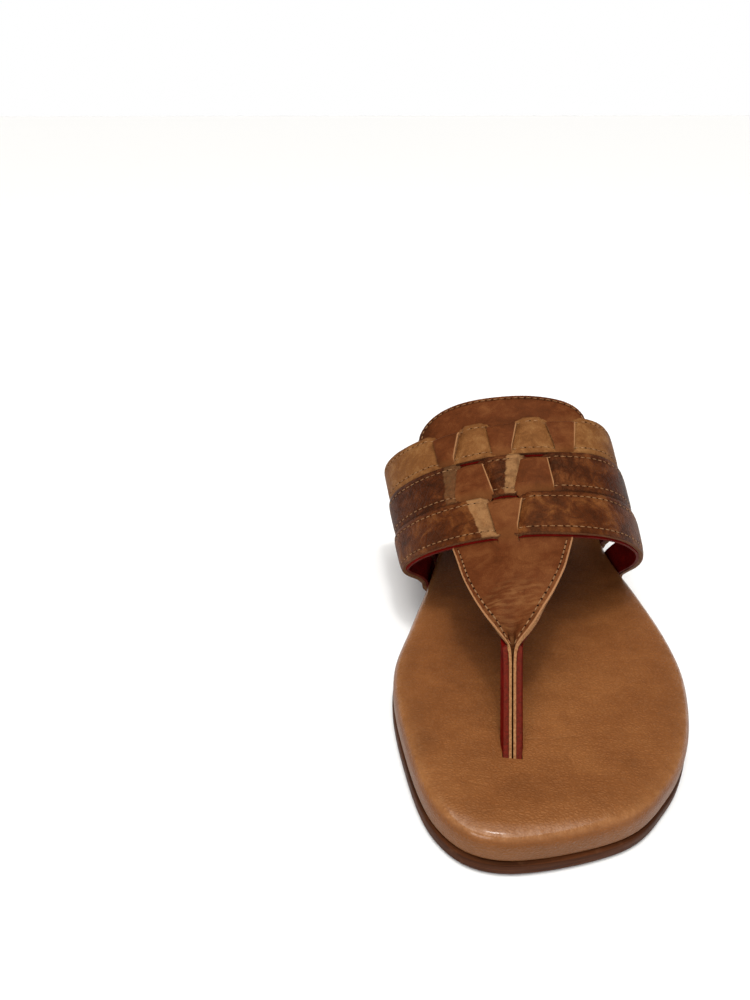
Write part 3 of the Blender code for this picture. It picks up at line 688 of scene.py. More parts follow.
def thick_sheet(name, points, faces, thickness, face, back, cut_edge, mark=(), bevel=0.22, skive=None):
    """A leather cut from a sheet: its face lies on the points, its edge is square with a soft arris.

    skive gives each point its share of the full thickness.
    """
    piece = finish_mesh(name, points, faces, [face, back, cut_edge], mark=mark)
    up = sum((p.normal.z * p.area for p in piece.data.polygons))
    if up < 0:
        piece.data.flip_normals()
    solid = piece.modifiers.new("thickness", "SOLIDIFY")
    solid.thickness = thickness * MM
    solid.offset = -1.0
    solid.use_even_offset = False
    if skive is not None:
        thinned = piece.vertex_groups.new(name="skive")
        for k, share in enumerate(skive):
            thinned.add([k], share, "REPLACE")
        solid.vertex_group = thinned.name
    solid.material_offset = 1
    solid.material_offset_rim = 2
    if bevel:
        soft = piece.modifiers.new("arris", "BEVEL")
        soft.width = bevel * MM
        soft.segments = 2
        soft.limit_method = "ANGLE"
        soft.angle_limit = math.radians(55)
        soft.harden_normals = False
    return piece


def cut_edge_leather(name, pale, deep):
    made, tree, shader = new_material(name, 0.75, 0.3)
    place = add_node(tree, "ShaderNodeTexCoord").outputs["Object"]
    fibres = noise(tree, place, Scale=1500.0, Detail=4.0, Roughness=0.7)
    tone = ramp(tree, fibres.outputs["Fac"], ((0.32, deep), (0.65, pale)))
    tree.links.new(tone, shader.inputs["Base Color"])
    emboss(tree, shader, fibres.outputs["Fac"], 0.5, 0.0002)
    return made


# ---------------------------------------------------------------------------------------
# Footbed: smooth tan leather pulled over a foam cushion, round its rim and down to the
# outsole. Polished by wear on the rim, with a slot for the toe post. The rim's crest is painted lighter:
# partly wear, partly a painted highlight.
FOOTBED_PROFILE = ((2.0, LAID - 0.2), (0.95, LAID - 0.1), (0.55, LAID + 0.7), (0.3, 6.6), (0.25, 9.0),
                   (0.4, 10.8), (0.95, 12.1), (2.0, 12.95), (3.6, 13.4), (6.0, 13.75), (9.0, 13.95))
POST_TOP = np.array((-11.2, -19.6, 36.5))
POST_FOOT = np.array((-10.4, -38.6, 14.0))
POST_DEPTH = 10.0
BED_DEPTH = 0.4
BED_TOP = 13.95


def footbed_shape(flat, inset, reach, height):
    """A shallow bed for the foot, a ring pressed in round the post and faint unevenness."""
    if height < 12:
        return np.zeros(len(flat))
    x, y = flat[:, 0], flat[:, 1]
    bed = -BED_DEPTH * (1 - reach ** 2) if reach < 1 else 0.0
    to_post = np.hypot(x - POST_FOOT[0], (y - POST_FOOT[1] - POST_DEPTH / 2) / 1.5)
    ring = -0.15 * np.exp(-(to_post / 6.5) ** 2)
    uneven = 0.12 * np.sin(x / 9.0 + 1.0) * np.sin(y / 13.0) + 0.08 * np.sin(x / 5.0) * np.sin(y / 7.0 + 2)
    return bed + ring + uneven * min(1.0, inset / 9.0)


def footbed_leather():
    made, tree, shader, dyed, surface = leather(
        "footbed_tan_leather", srgb(109, 62, 29), srgb(127, 75, 37), srgb(142, 88, 46),
        grain=0.75, crumple=0.05, stretch=(0.8, 1.2, 1.0), bump=0.6, roughness=0.42, mottle=0.3,
        specular=0.25)
    place = add_node(tree, "ShaderNodeTexCoord").outputs["Object"]
    brushed = add_node(tree, "ShaderNodeMapping")
    brushed.inputs["Scale"].default_value = (45, 900, 200)
    tree.links.new(place, brushed.inputs["Vector"])
    streaks = noise(tree, brushed.outputs["Vector"], Scale=1.0, Detail=3.0)
    streak = ramp(tree, streaks.outputs["Fac"], ((0.4, (0, 0, 0)), (0.7, (0.16, 0.16, 0.16))))
    streaked = mix_colour(tree, streak, dyed, srgb(96, 54, 24))
    # painted highlight and wear: the rim's crest is painted lighter, and the same mask polishes it and gives
    # it a coat
    worn = add_node(tree, "ShaderNodeAttribute", attribute_name="rim")
    nicks = noise(tree, place, Scale=420.0, Detail=6.0, Roughness=0.75)
    rubbed = maths(tree, "MULTIPLY", worn.outputs["Fac"],
                   ramp(tree, nicks.outputs["Fac"], ((0.35, (0.25, 0.25, 0.25)), (0.7, (1, 1, 1)))))
    coloured = mix_colour(tree, maths(tree, "MULTIPLY", rubbed, 0.62), streaked, srgb(168, 116, 70))
    wall = add_node(tree, "ShaderNodeAttribute", attribute_name="wall")
    greyed = mix_colour(tree, maths(tree, "MULTIPLY", wall.outputs["Fac"], 0.4), coloured, srgb(118, 78, 46))
    wander = noise(tree, place, Scale=42.0, Detail=3.0, Roughness=0.5, Distortion=0.8)
    ridge = maths(tree, "ABSOLUTE", maths(tree, "MULTIPLY_ADD", wander.outputs["Fac"], 2.0, -1.0))
    line = ramp(tree, ridge, ((0.0, (1, 1, 1)), (0.06, (0, 0, 0))))
    where = ramp(tree, surface.outputs["Blotch"], ((0.52, (0, 0, 0)), (0.68, (1, 1, 1))))
    wrinkle = maths(tree, "MULTIPLY", line, where)
    pressed = mix_colour(tree, maths(tree, "MULTIPLY", wrinkle, 0.14), greyed, srgb(96, 54, 24))
    tree.links.new(pressed, shader.inputs["Base Color"])
    relief = add_node(tree, "ShaderNodeBump", Strength=0.3, Distance=0.0005)
    relief.invert = True
    tree.links.new(wrinkle, relief.inputs["Height"])
    tree.links.new(shader.inputs["Normal"].links[0].from_socket, relief.inputs["Normal"])
    tree.links.new(relief.outputs["Normal"], shader.inputs["Normal"])
    satin = maths(tree, "MULTIPLY_ADD", nicks.outputs["Fac"], 0.2, 0.36)
    polished = maths(tree, "MULTIPLY_ADD", rubbed, -0.2, satin)
    tree.links.new(polished, shader.inputs["Roughness"])
    tree.links.new(maths(tree, "MULTIPLY", rubbed, 0.9), shader.inputs["Coat Weight"])
    shader.inputs["Coat Roughness"].default_value = 0.14
    return made


footbed_edge = smooth_profile(FOOTBED_PROFILE, 34)
footbed_stations = [(inset, 1.0, height) for inset, height in footbed_edge]
footbed_stations += [(9, reach, BED_TOP) for reach in np.linspace(0.95, 0.06, 22)]
back_edge = smooth_profile(((9, 12.3), (5.2, 12.1), (3.1, 11.3), (2.2, 10.0), (1.9, 8.0), (2.0, 6.2)), 12)
rim_wear_and_highlight, wall_tone = [], []
for inset, reach, height in footbed_stations:
    # crest: a band along the rim painted lighter, partly wear and partly a painted highlight
    crest = math.exp(-((height - 12.7) / 0.7) ** 2) if reach == 1.0 else 0.0
    rim_wear_and_highlight += [crest] * len(SOLE_LOOP)
    wall_tone += [float(ease((12.0 - height) / 4.0))] * len(SOLE_LOOP)
shell_stations = [(9, 0.06, 12.3)] + [(inset, 1.0, height) for inset, height in back_edge] + footbed_stations
inner_side = [0.0] * (len(shell_stations) - len(footbed_stations)) * len(SOLE_LOOP)
footbed = sole_layer("footbed_leather_cover", shell_stations, [footbed_leather()], shape=footbed_shape,
                     mark=(("rim", inner_side + rim_wear_and_highlight), ("wall", inner_side + wall_tone)))


def cut_away(piece, cutters):
    """Cuts closed shapes out of a piece and leaves a plain mesh."""
    for cutter in cutters:
        change = piece.modifiers.new("cut", "BOOLEAN")
        change.object = cutter
    made = bpy.data.meshes.new_from_object(piece.evaluated_get(bpy.context.evaluated_depsgraph_get()))
    piece.modifiers.clear()
    piece.data = made
    for cutter in cutters:
        bpy.data.objects.remove(cutter)


def box_loft(name, top_grid, low_grid):
    """A closed cutter between two grids of points."""
    rows, columns = top_grid.shape[:2]
    under = rows * columns
    faces = sheet_faces(rows, columns)
    faces += [tuple(i + under for i in reversed(face)) for face in sheet_faces(rows, columns)]
    rim = [c for c in range(columns)] + [r * columns + columns - 1 for r in range(1, rows)]
    rim += [(rows - 1) * columns + c for c in range(columns - 2, -1, -1)]
    rim += [r * columns for r in range(rows - 2, 0, -1)]
    faces += [(a, b, b + under, a + under) for a, b in zip(rim, rim[1:] + rim[:1])]
    points = np.concatenate([top_grid.reshape(-1, 3), low_grid.reshape(-1, 3)])
    return finish_mesh(name, points, faces, [], smooth=False)


def strap_mouth(side, along):
    """Room in the footbed's rim where a strap goes in under it."""
    out = side["side"]
    middle, half = between(side["foot_y"], sum(along) / 2), (along[1] - along[0]) / 2
    ys = np.linspace(middle - half - 0.4, middle + half + 0.4, 8)
    grids = []
    for height in (7.9, LAID - 0.6):
        grids.append(np.array([[(edge_x(out, y) + out * d, y, height + float(rise(y))) for d in (4.0, -13.0)]
                               for y in ys]))
    return box_loft("strap_mouth", grids[0], grids[1])


lean = (POST_FOOT - POST_TOP) / (POST_TOP[2] - POST_FOOT[2])
slot_grids = []
for height in (18.0, 10.0):
    at = POST_TOP + lean * (POST_TOP[2] - height)
    across_slot = np.linspace(-1, 1, 9)
    slot_grids.append(np.array([[(at[0] + 2.8 * a, at[1] + y, height) for a in across_slot]
                                for y in (-0.1, POST_DEPTH + 0.6)]))
mouths = [strap_mouth(side, along) for along in ROWS.values() for side in (MEDIAL, LATERAL)]
cut_away(footbed, [box_loft("post_slot", *slot_grids)] + mouths)
footbed.data.shade_smooth()
footbed.data.set_sharp_from_angle(angle=math.radians(48))
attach(footbed, "root")
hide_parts("footbed_cover")

# ---------------------------------------------------------------------------------------
# Straps: three bands of different dyed leathers, each with a red lining, stitched along both
# edges, arched over the foot and turned in under the footbed. The panel's strips press them down.
STITCH_INSET, STITCH_GROOVE = 2.2, 0.16
SHINGLE = 0.35                  # a strap's rear edge stands up and its front edge lies down by this
STRAP_ROWS_AT = (0.0, 0.3, 0.8, 1.5, 1.95, 2.2, 2.45, 3.0, 4.2, 6.0)
STRAP_STEPS = 230
DRAWN_FROM, DRAWN_IN = 4.0, 3.0


def strap_height(row, across, along, inset):
    """Height of a strap's face: pressed under the strips, rolled at its edges, grooved at the stitches."""
    low, high = list(ROWS.values())[row]
    swell = 0.2 * ease(inset / 5.0) - 0.3 * (1 - ease(inset / 1.2))
    swell -= STITCH_GROOVE * math.exp(-((inset - STITCH_INSET) / 0.35) ** 2)
    swell += SHINGLE * (2 * along - low - high) / (high - low)
    pressed = under_strip(row, across, along, 1.5, 1.4)
    hollow = 0.1 * np.sin(across / 6.0 + row * 2.0) * ease(inset / 4.0)
    return swell + hollow - (PRESSED + swell) * pressed


def strap_places(name):
    """Rows along the strap's width: place along the instep and distance from the nearer edge."""
    low, high = ROWS[name]
    middle = (high - low) / 2
    near = [d for d in STRAP_ROWS_AT if d < middle]
    insets = near + [middle] + near[::-1]
    places = [low + d for d in near] + [low + middle] + [high - d for d in near[::-1]]
    return list(zip(places, insets))


def strap_sheet(name, drop, shrink=0.0):
    """Points and marks of a strap's face, or of its lining when dropped."""
    row = list(ROWS).index(name)
    low, high = ROWS[name]
    centre = (low + high) / 2
    points, edge_mark, patch_mark, worn_mark = [], [], [], []
    for along, inset in strap_places(name):
        along = low + shrink + (along - low) * (1 - 2 * shrink / (high - low))
        run = section(along)[2]
        across = np.linspace(run[0] + 1.0, run[-1] - 1.0, STRAP_STEPS)
        height = strap_height(row, across, along, inset) - drop
        place = on_vamp(across, along, height, centre)
        # below a strip the strap's edges are drawn in, so that the strip hides them
        toward = np.sign(centre - along) * ease((DRAWN_FROM - inset) / DRAWN_FROM)
        drawn = under_strip(row, across, along, -0.8, 1.6) * toward * DRAWN_IN
        for k in np.flatnonzero(drawn):
            place[k] = on_vamp(across[k:k + 1], along + drawn[k], height[k:k + 1], centre)[0]
        points.append(place)
        patch, worn = np.full(STRAP_STEPS, -20.0), np.zeros(STRAP_STEPS)
        for cell, wide, strong in zip(OVER[row], PATCH_WIDTH[row], PATCH_TONE[row]):
            line = slit_line(row, cell - 1, along)
            bare = np.minimum(across - (line - wide - 0.12 * (along - low)), line + 1.0 - across)
            patch = np.where(bare > -1.2, bare, patch)
            worn[bare > -1.2] = strong
        edge_mark += [inset] * STRAP_STEPS
        patch_mark += patch.tolist()
        worn_mark += worn.tolist()
    return np.concatenate(points), (("edge", edge_mark), ("patch", patch_mark), ("bared", worn_mark))


PATCH_WIDTH = ((5.2,), (3.8, 3.4), ())  # where the finish is worn off beside a strip
PATCH_TONE = ((1.0,), (0.3, 1.0), ())   # and how far it's worn
STRAP_DYES = {                  # dark, middle and light dye, how crumpled, how dull
    "front_strap": (srgb(46, 19, 6), srgb(86, 41, 16), srgb(131, 78, 38), 0.4, 0.45),
    "middle_strap": (srgb(40, 16, 5), srgb(76, 35, 14), srgb(118, 66, 32), 0.6, 0.45),
    "rear_strap": (srgb(96, 57, 27), srgb(126, 80, 42), srgb(152, 107, 63), 0.15, 0.55)}


def strap_leather(name):
    dark, mid, light, crumple, roughness = STRAP_DYES[name]
    made, tree, shader, dyed, _ = leather(name + "_leather", dark, mid, light, grain=1.1, crumple=crumple,
                                          bump=0.5, roughness=roughness, coat=0.0, mottle=0.65)
    place = add_node(tree, "ShaderNodeTexCoord").outputs["Object"]
    ragged = noise(tree, place, Scale=320.0, Detail=5.0, Roughness=0.7)
    shake = maths(tree, "MULTIPLY_ADD", ragged.outputs["Fac"], 2.4, -1.2)
    patch = add_node(tree, "ShaderNodeAttribute", attribute_name="patch")
    bare = ramp(tree, maths(tree, "ADD", patch.outputs["Fac"], shake),
                ((0.0, (0, 0, 0)), (0.55, (0.85, 0.85, 0.85))))
    bared = add_node(tree, "ShaderNodeAttribute", attribute_name="bared")
    flecked = maths(tree, "MULTIPLY", maths(tree, "MULTIPLY", bare, bared.outputs["Fac"]),
                    ramp(tree, ragged.outputs["Fac"], ((0.38, (0.55, 0.55, 0.55)), (0.56, (1, 1, 1)))))
    coloured = mix_colour(tree, flecked, dyed, srgb(152, 110, 70))
    edge = add_node(tree, "ShaderNodeAttribute", attribute_name="edge")
    rub = maths(tree, "MULTIPLY_ADD", edge.outputs["Fac"], -0.9,
                maths(tree, "MULTIPLY", ragged.outputs["Fac"], 1.6))
    chafed = mix_colour(tree, ramp(tree, rub, ((0.25, (0, 0, 0)), (0.8, (0.55, 0.55, 0.55)))), coloured, dark)
    tree.links.new(chafed, shader.inputs["Base Color"])
    return made


lining_red = leather("dark_red_lining", srgb(66, 5, 4), srgb(108, 13, 10), srgb(136, 24, 16), grain=1.2,
                     crumple=0.1, bump=0.3, roughness=0.7, coat=0.0, specular=0.03)[0]
strap_edge = cut_edge_leather("strap_cut_edge", srgb(124, 82, 54), srgb(80, 46, 26))
lining_edge = cut_edge_leather("lining_cut_edge", srgb(106, 19, 14), srgb(64, 8, 6))
for name in ROWS:
    points, marks = strap_sheet(name, 0.0)
    count = len(strap_places(name))
    face = strap_leather(name)
    strap = thick_sheet(name + "_leather", points, sheet_faces(count, STRAP_STEPS), STRAP_THICK, face, face,
                        strap_edge, marks)
    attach(strap, "root")
    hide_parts(name)
    points, marks = strap_sheet(name, STRAP_THICK + 0.05, shrink=0.12)
    lining = thick_sheet(name + "_lining_leather", points, sheet_faces(count, STRAP_STEPS), LINING_THICK,
                         lining_red, lining_red, lining_edge, marks, bevel=0.15)
    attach(lining, "root")
    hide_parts(name + "_lining")

# ---------------------------------------------------------------------------------------
# Vamp panel: one piece of reddish pull-up leather. The tongue lies behind the straps, six strips
# cross over them, the V runs forward and folds in two to make the toe post. Red lining below.
PANEL_EDGES = ((-19.0, -15.2, -12.2), (-12.0, -20.5, -7.5), (-5.0, -25.8, -2.6), (8.0, -31.0, 2.8),
               (20.0, -35.3, 6.5), (73.2, -52.5, 18.5))
TONGUE_START, TONGUE_REACH, TONGUE_SKEW = 73.2, 14.8, 0.12
FOLD_START, FOLD_END = 3.0, -19.0
POST_END = 5.3
CELL_STEPS = (8, 6, 9, 8, 9, 6, 6)
POST_ROWS, V_ROWS = 26, 34
POST_SKIVE = 0.5
SLIT_HALF = 0.12
DENT = np.array((-9.0, -8.0, 40.0))     # the toes have pressed a shallow dent above the tip of the V
POST_PARTING, POST_BELLY = 0.24, 0.65   # half gap between the folded faces, in front and behind


def panel_edge(along):
    keys, medial, lateral = np.array(PANEL_EDGES).T
    return np.interp(along, keys, medial), np.interp(along, keys, lateral)


def cell_lines(along):
    """Lengths across of the panel's edges and of the six lines between its cells."""
    lows = [pair[0] for pair in ROWS.values()]
    highs = [pair[1] for pair in ROWS.values()]
    keys, lines = [], []
    for row in range(3):
        for at in (lows[row] + 0.6, highs[row] - 0.6):
            keys.append(at)
            lines.append([slit_line(row, k, at) for k in range(6)])
    inner = [np.interp(along, keys, np.array(lines)[:, k]) for k in range(6)]
    medial, lateral = panel_edge(along)
    first_medial, first_lateral = panel_edge(keys[0])
    if along < keys[0]:
        inner = [medial + (line - first_medial) * (lateral - medial) / (first_lateral - first_medial)
                 for line in lines[0]]
    elif along > keys[-1]:
        last_medial, last_lateral = panel_edge(keys[-1])
        inner = [medial + (line - last_medial) * (lateral - medial) / (last_lateral - last_medial)
                 for line in lines[-1]]
    return [medial] + inner + [lateral]


def tongue_reach(share):
    """How far the tongue reaches behind the rear strap, at a share of its width."""
    return (1.5 + TONGUE_REACH * (1 - abs(2 * share - 1) ** 3.0) ** 0.5) * (1 - TONGUE_SKEW * (2 * share - 1))


def strip_share(cell, along):
    """How far a cell has come up from under the straps, 0 to 1, at a place along the instep."""
    share = 0.0
    for row, (low, high) in enumerate(ROWS.values()):
        if cell in OVER[row]:
            share = max(share, float(ease((along - low + 1.4) / 4.2) * ease((high + 0.5 - along) / 4.2)))
    return share


def post_section(share, steps):
    """The fold at a share of the post's length: pinched at its front edges, round at the back."""
    end = POST_TOP + lean * (POST_TOP[2] - POST_END)
    front = POST_TOP + (end - POST_TOP) * share
    s = np.linspace(-1, 1, steps)
    parting = POST_PARTING + POST_BELLY * ease((1 - np.abs(s)) / 0.55)
    turn = np.clip(np.abs(s) / 0.3, 0, 1) * math.pi / 2
    legs = POST_DEPTH - POST_PARTING - POST_BELLY - 2.4
    x = np.sign(s) * parting * np.sin(turn)
    depth = np.where(np.abs(s) > 0.3, (1 - np.abs(s)) / 0.7 * legs,
                     legs + (POST_PARTING + POST_BELLY) * np.cos(turn))
    return front + np.column_stack([x, depth, np.zeros(len(s))])


def panel_row(along):
    """Lengths across of the points in one row of the panel."""
    lines = cell_lines(along)
    spans = [np.linspace(a, b, n, endpoint=False) for a, b, n in zip(lines, lines[1:], CELL_STEPS)]
    return np.concatenate(spans + [[lines[-1]]])


def sunk_level(along):
    """Height of the panel's face: under the straps behind, easing up to the pattern's surface in the V."""
    return SUNK * float(ease((along - 4.0) / 15.0))


columns_total = sum(CELL_STEPS) + 1
fold_rows = [post_section(share, columns_total) for share in np.linspace(1, 0, POST_ROWS)]
for along in np.linspace(FOLD_END + 1.5, 19.0, V_ROWS):
    flat = on_vamp(panel_row(along), along, np.full(columns_total, sunk_level(along)))
    fold = float(ease((FOLD_START - along) / (FOLD_START - FOLD_END)))
    fold_rows.append((1 - fold) * flat + fold * post_section(0.0, columns_total))
front_part = np.array(fold_rows)
for _ in range(14):
    before, bend, after = (slice(POST_ROWS - 8 + k, POST_ROWS + 20 + k) for k in (-1, 0, 1))
    front_part[bend] = (front_part[before] + 2 * front_part[bend] + front_part[after]) / 4
to_dent = np.linalg.norm((front_part - DENT) / (1.0, 1.3, 1.3), axis=2)
front_part[:, :, 2] += 0.45 * np.exp(-((to_dent - 7.0) / 2.2) ** 2) - 0.8 * np.exp(-(to_dent / 4.5) ** 2)


def skived(row):
    """Share of the panel's thickness left at a row of its front part: the fold is skived thin."""
    return POST_SKIVE + (1 - POST_SKIVE) * float(ease((row - POST_ROWS + 4) / 18.0))


def panel_sheet():
    """The panel's face: the front part, three woven rows cut by slits, and the tongue."""
    points, faces, seam, bent, slit, skive = [], [], [], [], [], []
    index = {}

    def vertex(place, key, seam_value, bent_value=0.0, slit_highlight_value=0.0):
        if key not in index:
            index[key] = len(points)
            points.append(place)
            skive.append(skived(key[1]) if key[0] == "front" else 1.0)
            seam.append(seam_value)
            bent.append(bent_value)
            slit.append(slit_highlight_value)
        return index[key]

    grid = []
    for r, line in enumerate(front_part):
        run = lengths(line)
        grid.append([vertex(line[c], ("front", r, c), min(run[c], run[-1] - run[c]))
                     for c in range(columns_total)])
    starts = np.r_[0, np.cumsum(CELL_STEPS)]
    woven = np.unique(np.round(np.concatenate([np.arange(19.5, TONGUE_START, 0.8), [TONGUE_START]]), 3))
    shares = {along: [strip_share(cell, along) for cell in range(7)] for along in woven}

    def woven_vertex(along, cell, step):
        """A point of a cell; the point on a shared line is shared unless a slit parts the two cells."""
        column = starts[cell] + step
        lines = cell_lines(along)
        across = lines[cell] + (lines[cell + 1] - lines[cell]) * step / CELL_STEPS[cell]
        level = shares[along][cell]
        parted = None
        for line_cell, other in ((cell - 1, 0), (cell + 1, CELL_STEPS[cell])):
            if step == other and 0 <= line_cell < 7 and abs(shares[along][line_cell] - level) > 0.02:
                parted = cell
                across += SLIT_HALF if step == 0 else -SLIT_HALF
        rounded = 0.0
        if level > 0:
            inset = min(step, CELL_STEPS[cell] - step) / CELL_STEPS[cell]
            rounded = 0.2 * level * (1 - (1 - min(1.0, 2.5 * inset)) ** 2) - 0.1 * level
            rounded += 0.2 * level * (2 * step / CELL_STEPS[cell] - 1)
        height = sunk_level(along) + (PROUD - SUNK) * level + rounded
        place = on_vamp(np.array([across]), along, np.array([height]))[0]
        key = ("woven", round(along, 3), column, parted)
        # the last value marks a pale line painted along the slit edges of strips that pass over, full only on
        # their lateral edge: partly the cut edge's colour, partly a painted highlight
        return vertex(place, key, min(across - lines[0], lines[-1] - across), level * (1 - level) * 4,
                      level * (parted is not None) * (1.0 if step else 0.35))

    for c in range(columns_total):
        cell = min(int(np.searchsorted(starts, c, side="right")) - 1, 6)
        index[("woven", round(float(woven[0]), 3), c, None)] = grid[-1][c]
    for near, far in zip(woven, woven[1:]):
        for cell in range(7):
            for step in range(CELL_STEPS[cell]):
                ring = [woven_vertex(near, cell, step), woven_vertex(far, cell, step),
                        woven_vertex(far, cell, step + 1), woven_vertex(near, cell, step + 1)]
                if len(set(ring)) > 2:
                    faces.append(tuple(dict.fromkeys(ring)))
    lines = cell_lines(TONGUE_START)
    across = panel_row(TONGUE_START)
    last = [index[("woven", round(TONGUE_START, 3), c, None)] for c in range(columns_total)]
    for step in np.linspace(0, 1, 15)[1:]:
        row = []
        for c, a in enumerate(across):
            s = (a - lines[0]) / (lines[-1] - lines[0])
            reach = tongue_reach(s)
            curl = -0.5 * step ** 3
            place = on_vamp(np.array([a]), TONGUE_START + reach * step, np.array([SUNK + curl]))[0]
            row.append(vertex(place, ("tongue", round(float(step), 3), c),
                              min(a - lines[0], lines[-1] - a, 4.0) + reach * (1 - step), 0.0))
        faces += [(last[c], row[c], row[c + 1], last[c + 1]) for c in range(columns_total - 1)]
        last = row
    for r in range(len(grid) - 1):
        faces += [(grid[r][c], grid[r + 1][c], grid[r + 1][c + 1], grid[r][c + 1])
                  for c in range(columns_total - 1)]
    return np.array(points), faces, (("seam", seam), ("bent", bent), ("slit", slit)), skive


def panel_leather():
    made, tree, shader, dyed, _ = leather(
        "panel_pull_up_leather", srgb(68, 33, 14), srgb(98, 50, 24), srgb(124, 74, 40), grain=1.2,
        crumple=0.04, bump=0.3, roughness=0.46, coat=0.0, mottle=0.4, specular=0.06)
    place = add_node(tree, "ShaderNodeTexCoord").outputs["Object"]
    scratch_place = add_node(tree, "ShaderNodeMapping")
    scratch_place.inputs["Scale"].default_value = (160, 900, 300)
    scratch_place.inputs["Rotation"].default_value = (0.0, 0.0, 0.35)
    tree.links.new(place, scratch_place.inputs["Vector"])
    scratches = noise(tree, scratch_place.outputs["Vector"], Scale=1.0, Detail=5.0, Roughness=0.65)
    # scratches painted paler in a ring round the toes' dent: partly wear, partly a painted highlight on the
    # dent's raised rim
    near_tip = add_node(tree, "ShaderNodeVectorMath", operation="DISTANCE")
    tree.links.new(place, near_tip.inputs[0])
    near_tip.inputs[1].default_value = ((BALL + DENT) * MM).tolist()
    around = ramp(tree, near_tip.outputs["Value"], ((0.003, (0.2, 0.2, 0.2)), (0.007, (0.5, 0.5, 0.5)),
                                                    (0.0105, (0.3, 0.3, 0.3)), (0.016, (0, 0, 0))))
    scuffs_and_dent_highlight = maths(tree, "MULTIPLY", around,
                    ramp(tree, scratches.outputs["Fac"], ((0.42, (0, 0, 0)), (0.68, (1, 1, 1)))))
    pale = mix_colour(tree, scuffs_and_dent_highlight, dyed, srgb(150, 104, 62))
    folded = add_node(tree, "ShaderNodeAttribute", attribute_name="bent")
    paler = mix_colour(tree, maths(tree, "MULTIPLY", folded.outputs["Fac"], 0.3), pale, srgb(132, 84, 46))
    seam = add_node(tree, "ShaderNodeAttribute", attribute_name="seam")
    frayed = maths(tree, "MULTIPLY_ADD", scratches.outputs["Fac"], 0.7, seam.outputs["Fac"])
    edged = mix_colour(tree, ramp(tree, frayed, ((0.85, (0.9, 0.9, 0.9)), (1.15, (0, 0, 0)))), paler,
                       srgb(164, 117, 80))
    # painted highlight and cut edge: a pale line along the lateral slit edges of the strips that pass over
    cut = add_node(tree, "ShaderNodeAttribute", attribute_name="slit")
    slit_highlight = ramp(tree, cut.outputs["Fac"], ((0.55, (0, 0, 0)), (0.85, (0.9, 0.9, 0.9))))
    cut_edge_and_highlight = mix_colour(tree, slit_highlight, edged, srgb(164, 118, 78))
    tree.links.new(cut_edge_and_highlight, shader.inputs["Base Color"])
    return made


panel_face = panel_leather()
panel_back = cut_edge_leather("panel_flesh_side", srgb(140, 96, 60), srgb(104, 66, 38))
panel_cut = cut_edge_leather("panel_cut_edge", srgb(170, 123, 82), srgb(122, 78, 46))
points, faces, marks, skive = panel_sheet()
panel = thick_sheet("vamp_panel_leather", points, faces, PANEL_THICK, panel_face, panel_back, panel_cut,
                    marks, bevel=0.2, skive=skive)
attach(panel, "root")
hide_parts("vamp_panel")

# ---------------------------------------------------------------------------------------
# Lining of the panel: a plain sheet of red leather, not slit, cemented below the panel. It also
# wraps the outside of the folded post, where it is left thick to fill out the skived panel.
def surface_normals(grid):
    normals = np.cross(np.gradient(grid, axis=1), np.gradient(grid, axis=0))
    normals /= np.linalg.norm(normals, axis=2)[:, :, None]
    return normals * np.sign(normals[-1, grid.shape[1] // 2, 2])


lining_rows = list(front_part)
for along in np.arange(19.8, TONGUE_START, 1.5):
    lining_rows.append(on_vamp(panel_row(along), along, np.full(columns_total, sunk_level(along))))
for step in np.linspace(0, 0.985, 10):
    share = np.linspace(0, 1, columns_total)
    medial, lateral = panel_edge(TONGUE_START)
    across = medial + (lateral - medial) * share
    lining_rows.append(np.concatenate([on_vamp(np.array([a]), TONGUE_START + tongue_reach(q) * step,
                                               np.array([SUNK - 0.5 * step ** 3]))
                                       for a, q in zip(across, share)]))
# the lining stops short of the panel's edge, most where the fold opens into the V
for r, line in enumerate(lining_rows):
    run = lengths(line)
    short = 0.3 + 1.3 * math.exp(-((r - POST_ROWS - 3) / 7.0) ** 2)
    lining_rows[r] = read_off(np.linspace(short, run[-1] - short, columns_total), run, line)
lining_grid = np.array(lining_rows)
panel_left = np.array([skived(r) for r in range(len(lining_grid))])
lining_grid = lining_grid - surface_normals(lining_grid) * (PANEL_THICK * panel_left + 0.06)[:, None, None]
least = PANEL_LINING / POST_LINING
lining_skive = np.repeat(least + (1 - least) * (1 - panel_left) / (1 - POST_SKIVE), columns_total)
panel_lining = thick_sheet("vamp_panel_lining", lining_grid.reshape(-1, 3),
                           sheet_faces(*lining_grid.shape[:2]), POST_LINING, lining_red, lining_red,
                           lining_edge, bevel=0.15, skive=lining_skive.tolist())
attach(panel_lining, "root")
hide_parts("vamp_lining")

# ---------------------------------------------------------------------------------------
# Stitching: light waxed thread along both edges of the straps, down both sides of the V and round
# the tongue, a stitch every 2.45 mm, each end drawn into its needle hole, which is a flat dark bead of
# painted shade.
PITCH = 2.45
PANEL_STITCH_INSET = 1.95
# the hole bead is the flat dark bead that paints the shade of each needle hole
THREAD_BEAD, HOLE_SHADE_BEAD = (1.85, 0.46, 0.36), (0.72, 0.78, 0.16)  # length, width and height
SEWN_FROM = 16.0                # the straps' stitches start this far from their ends


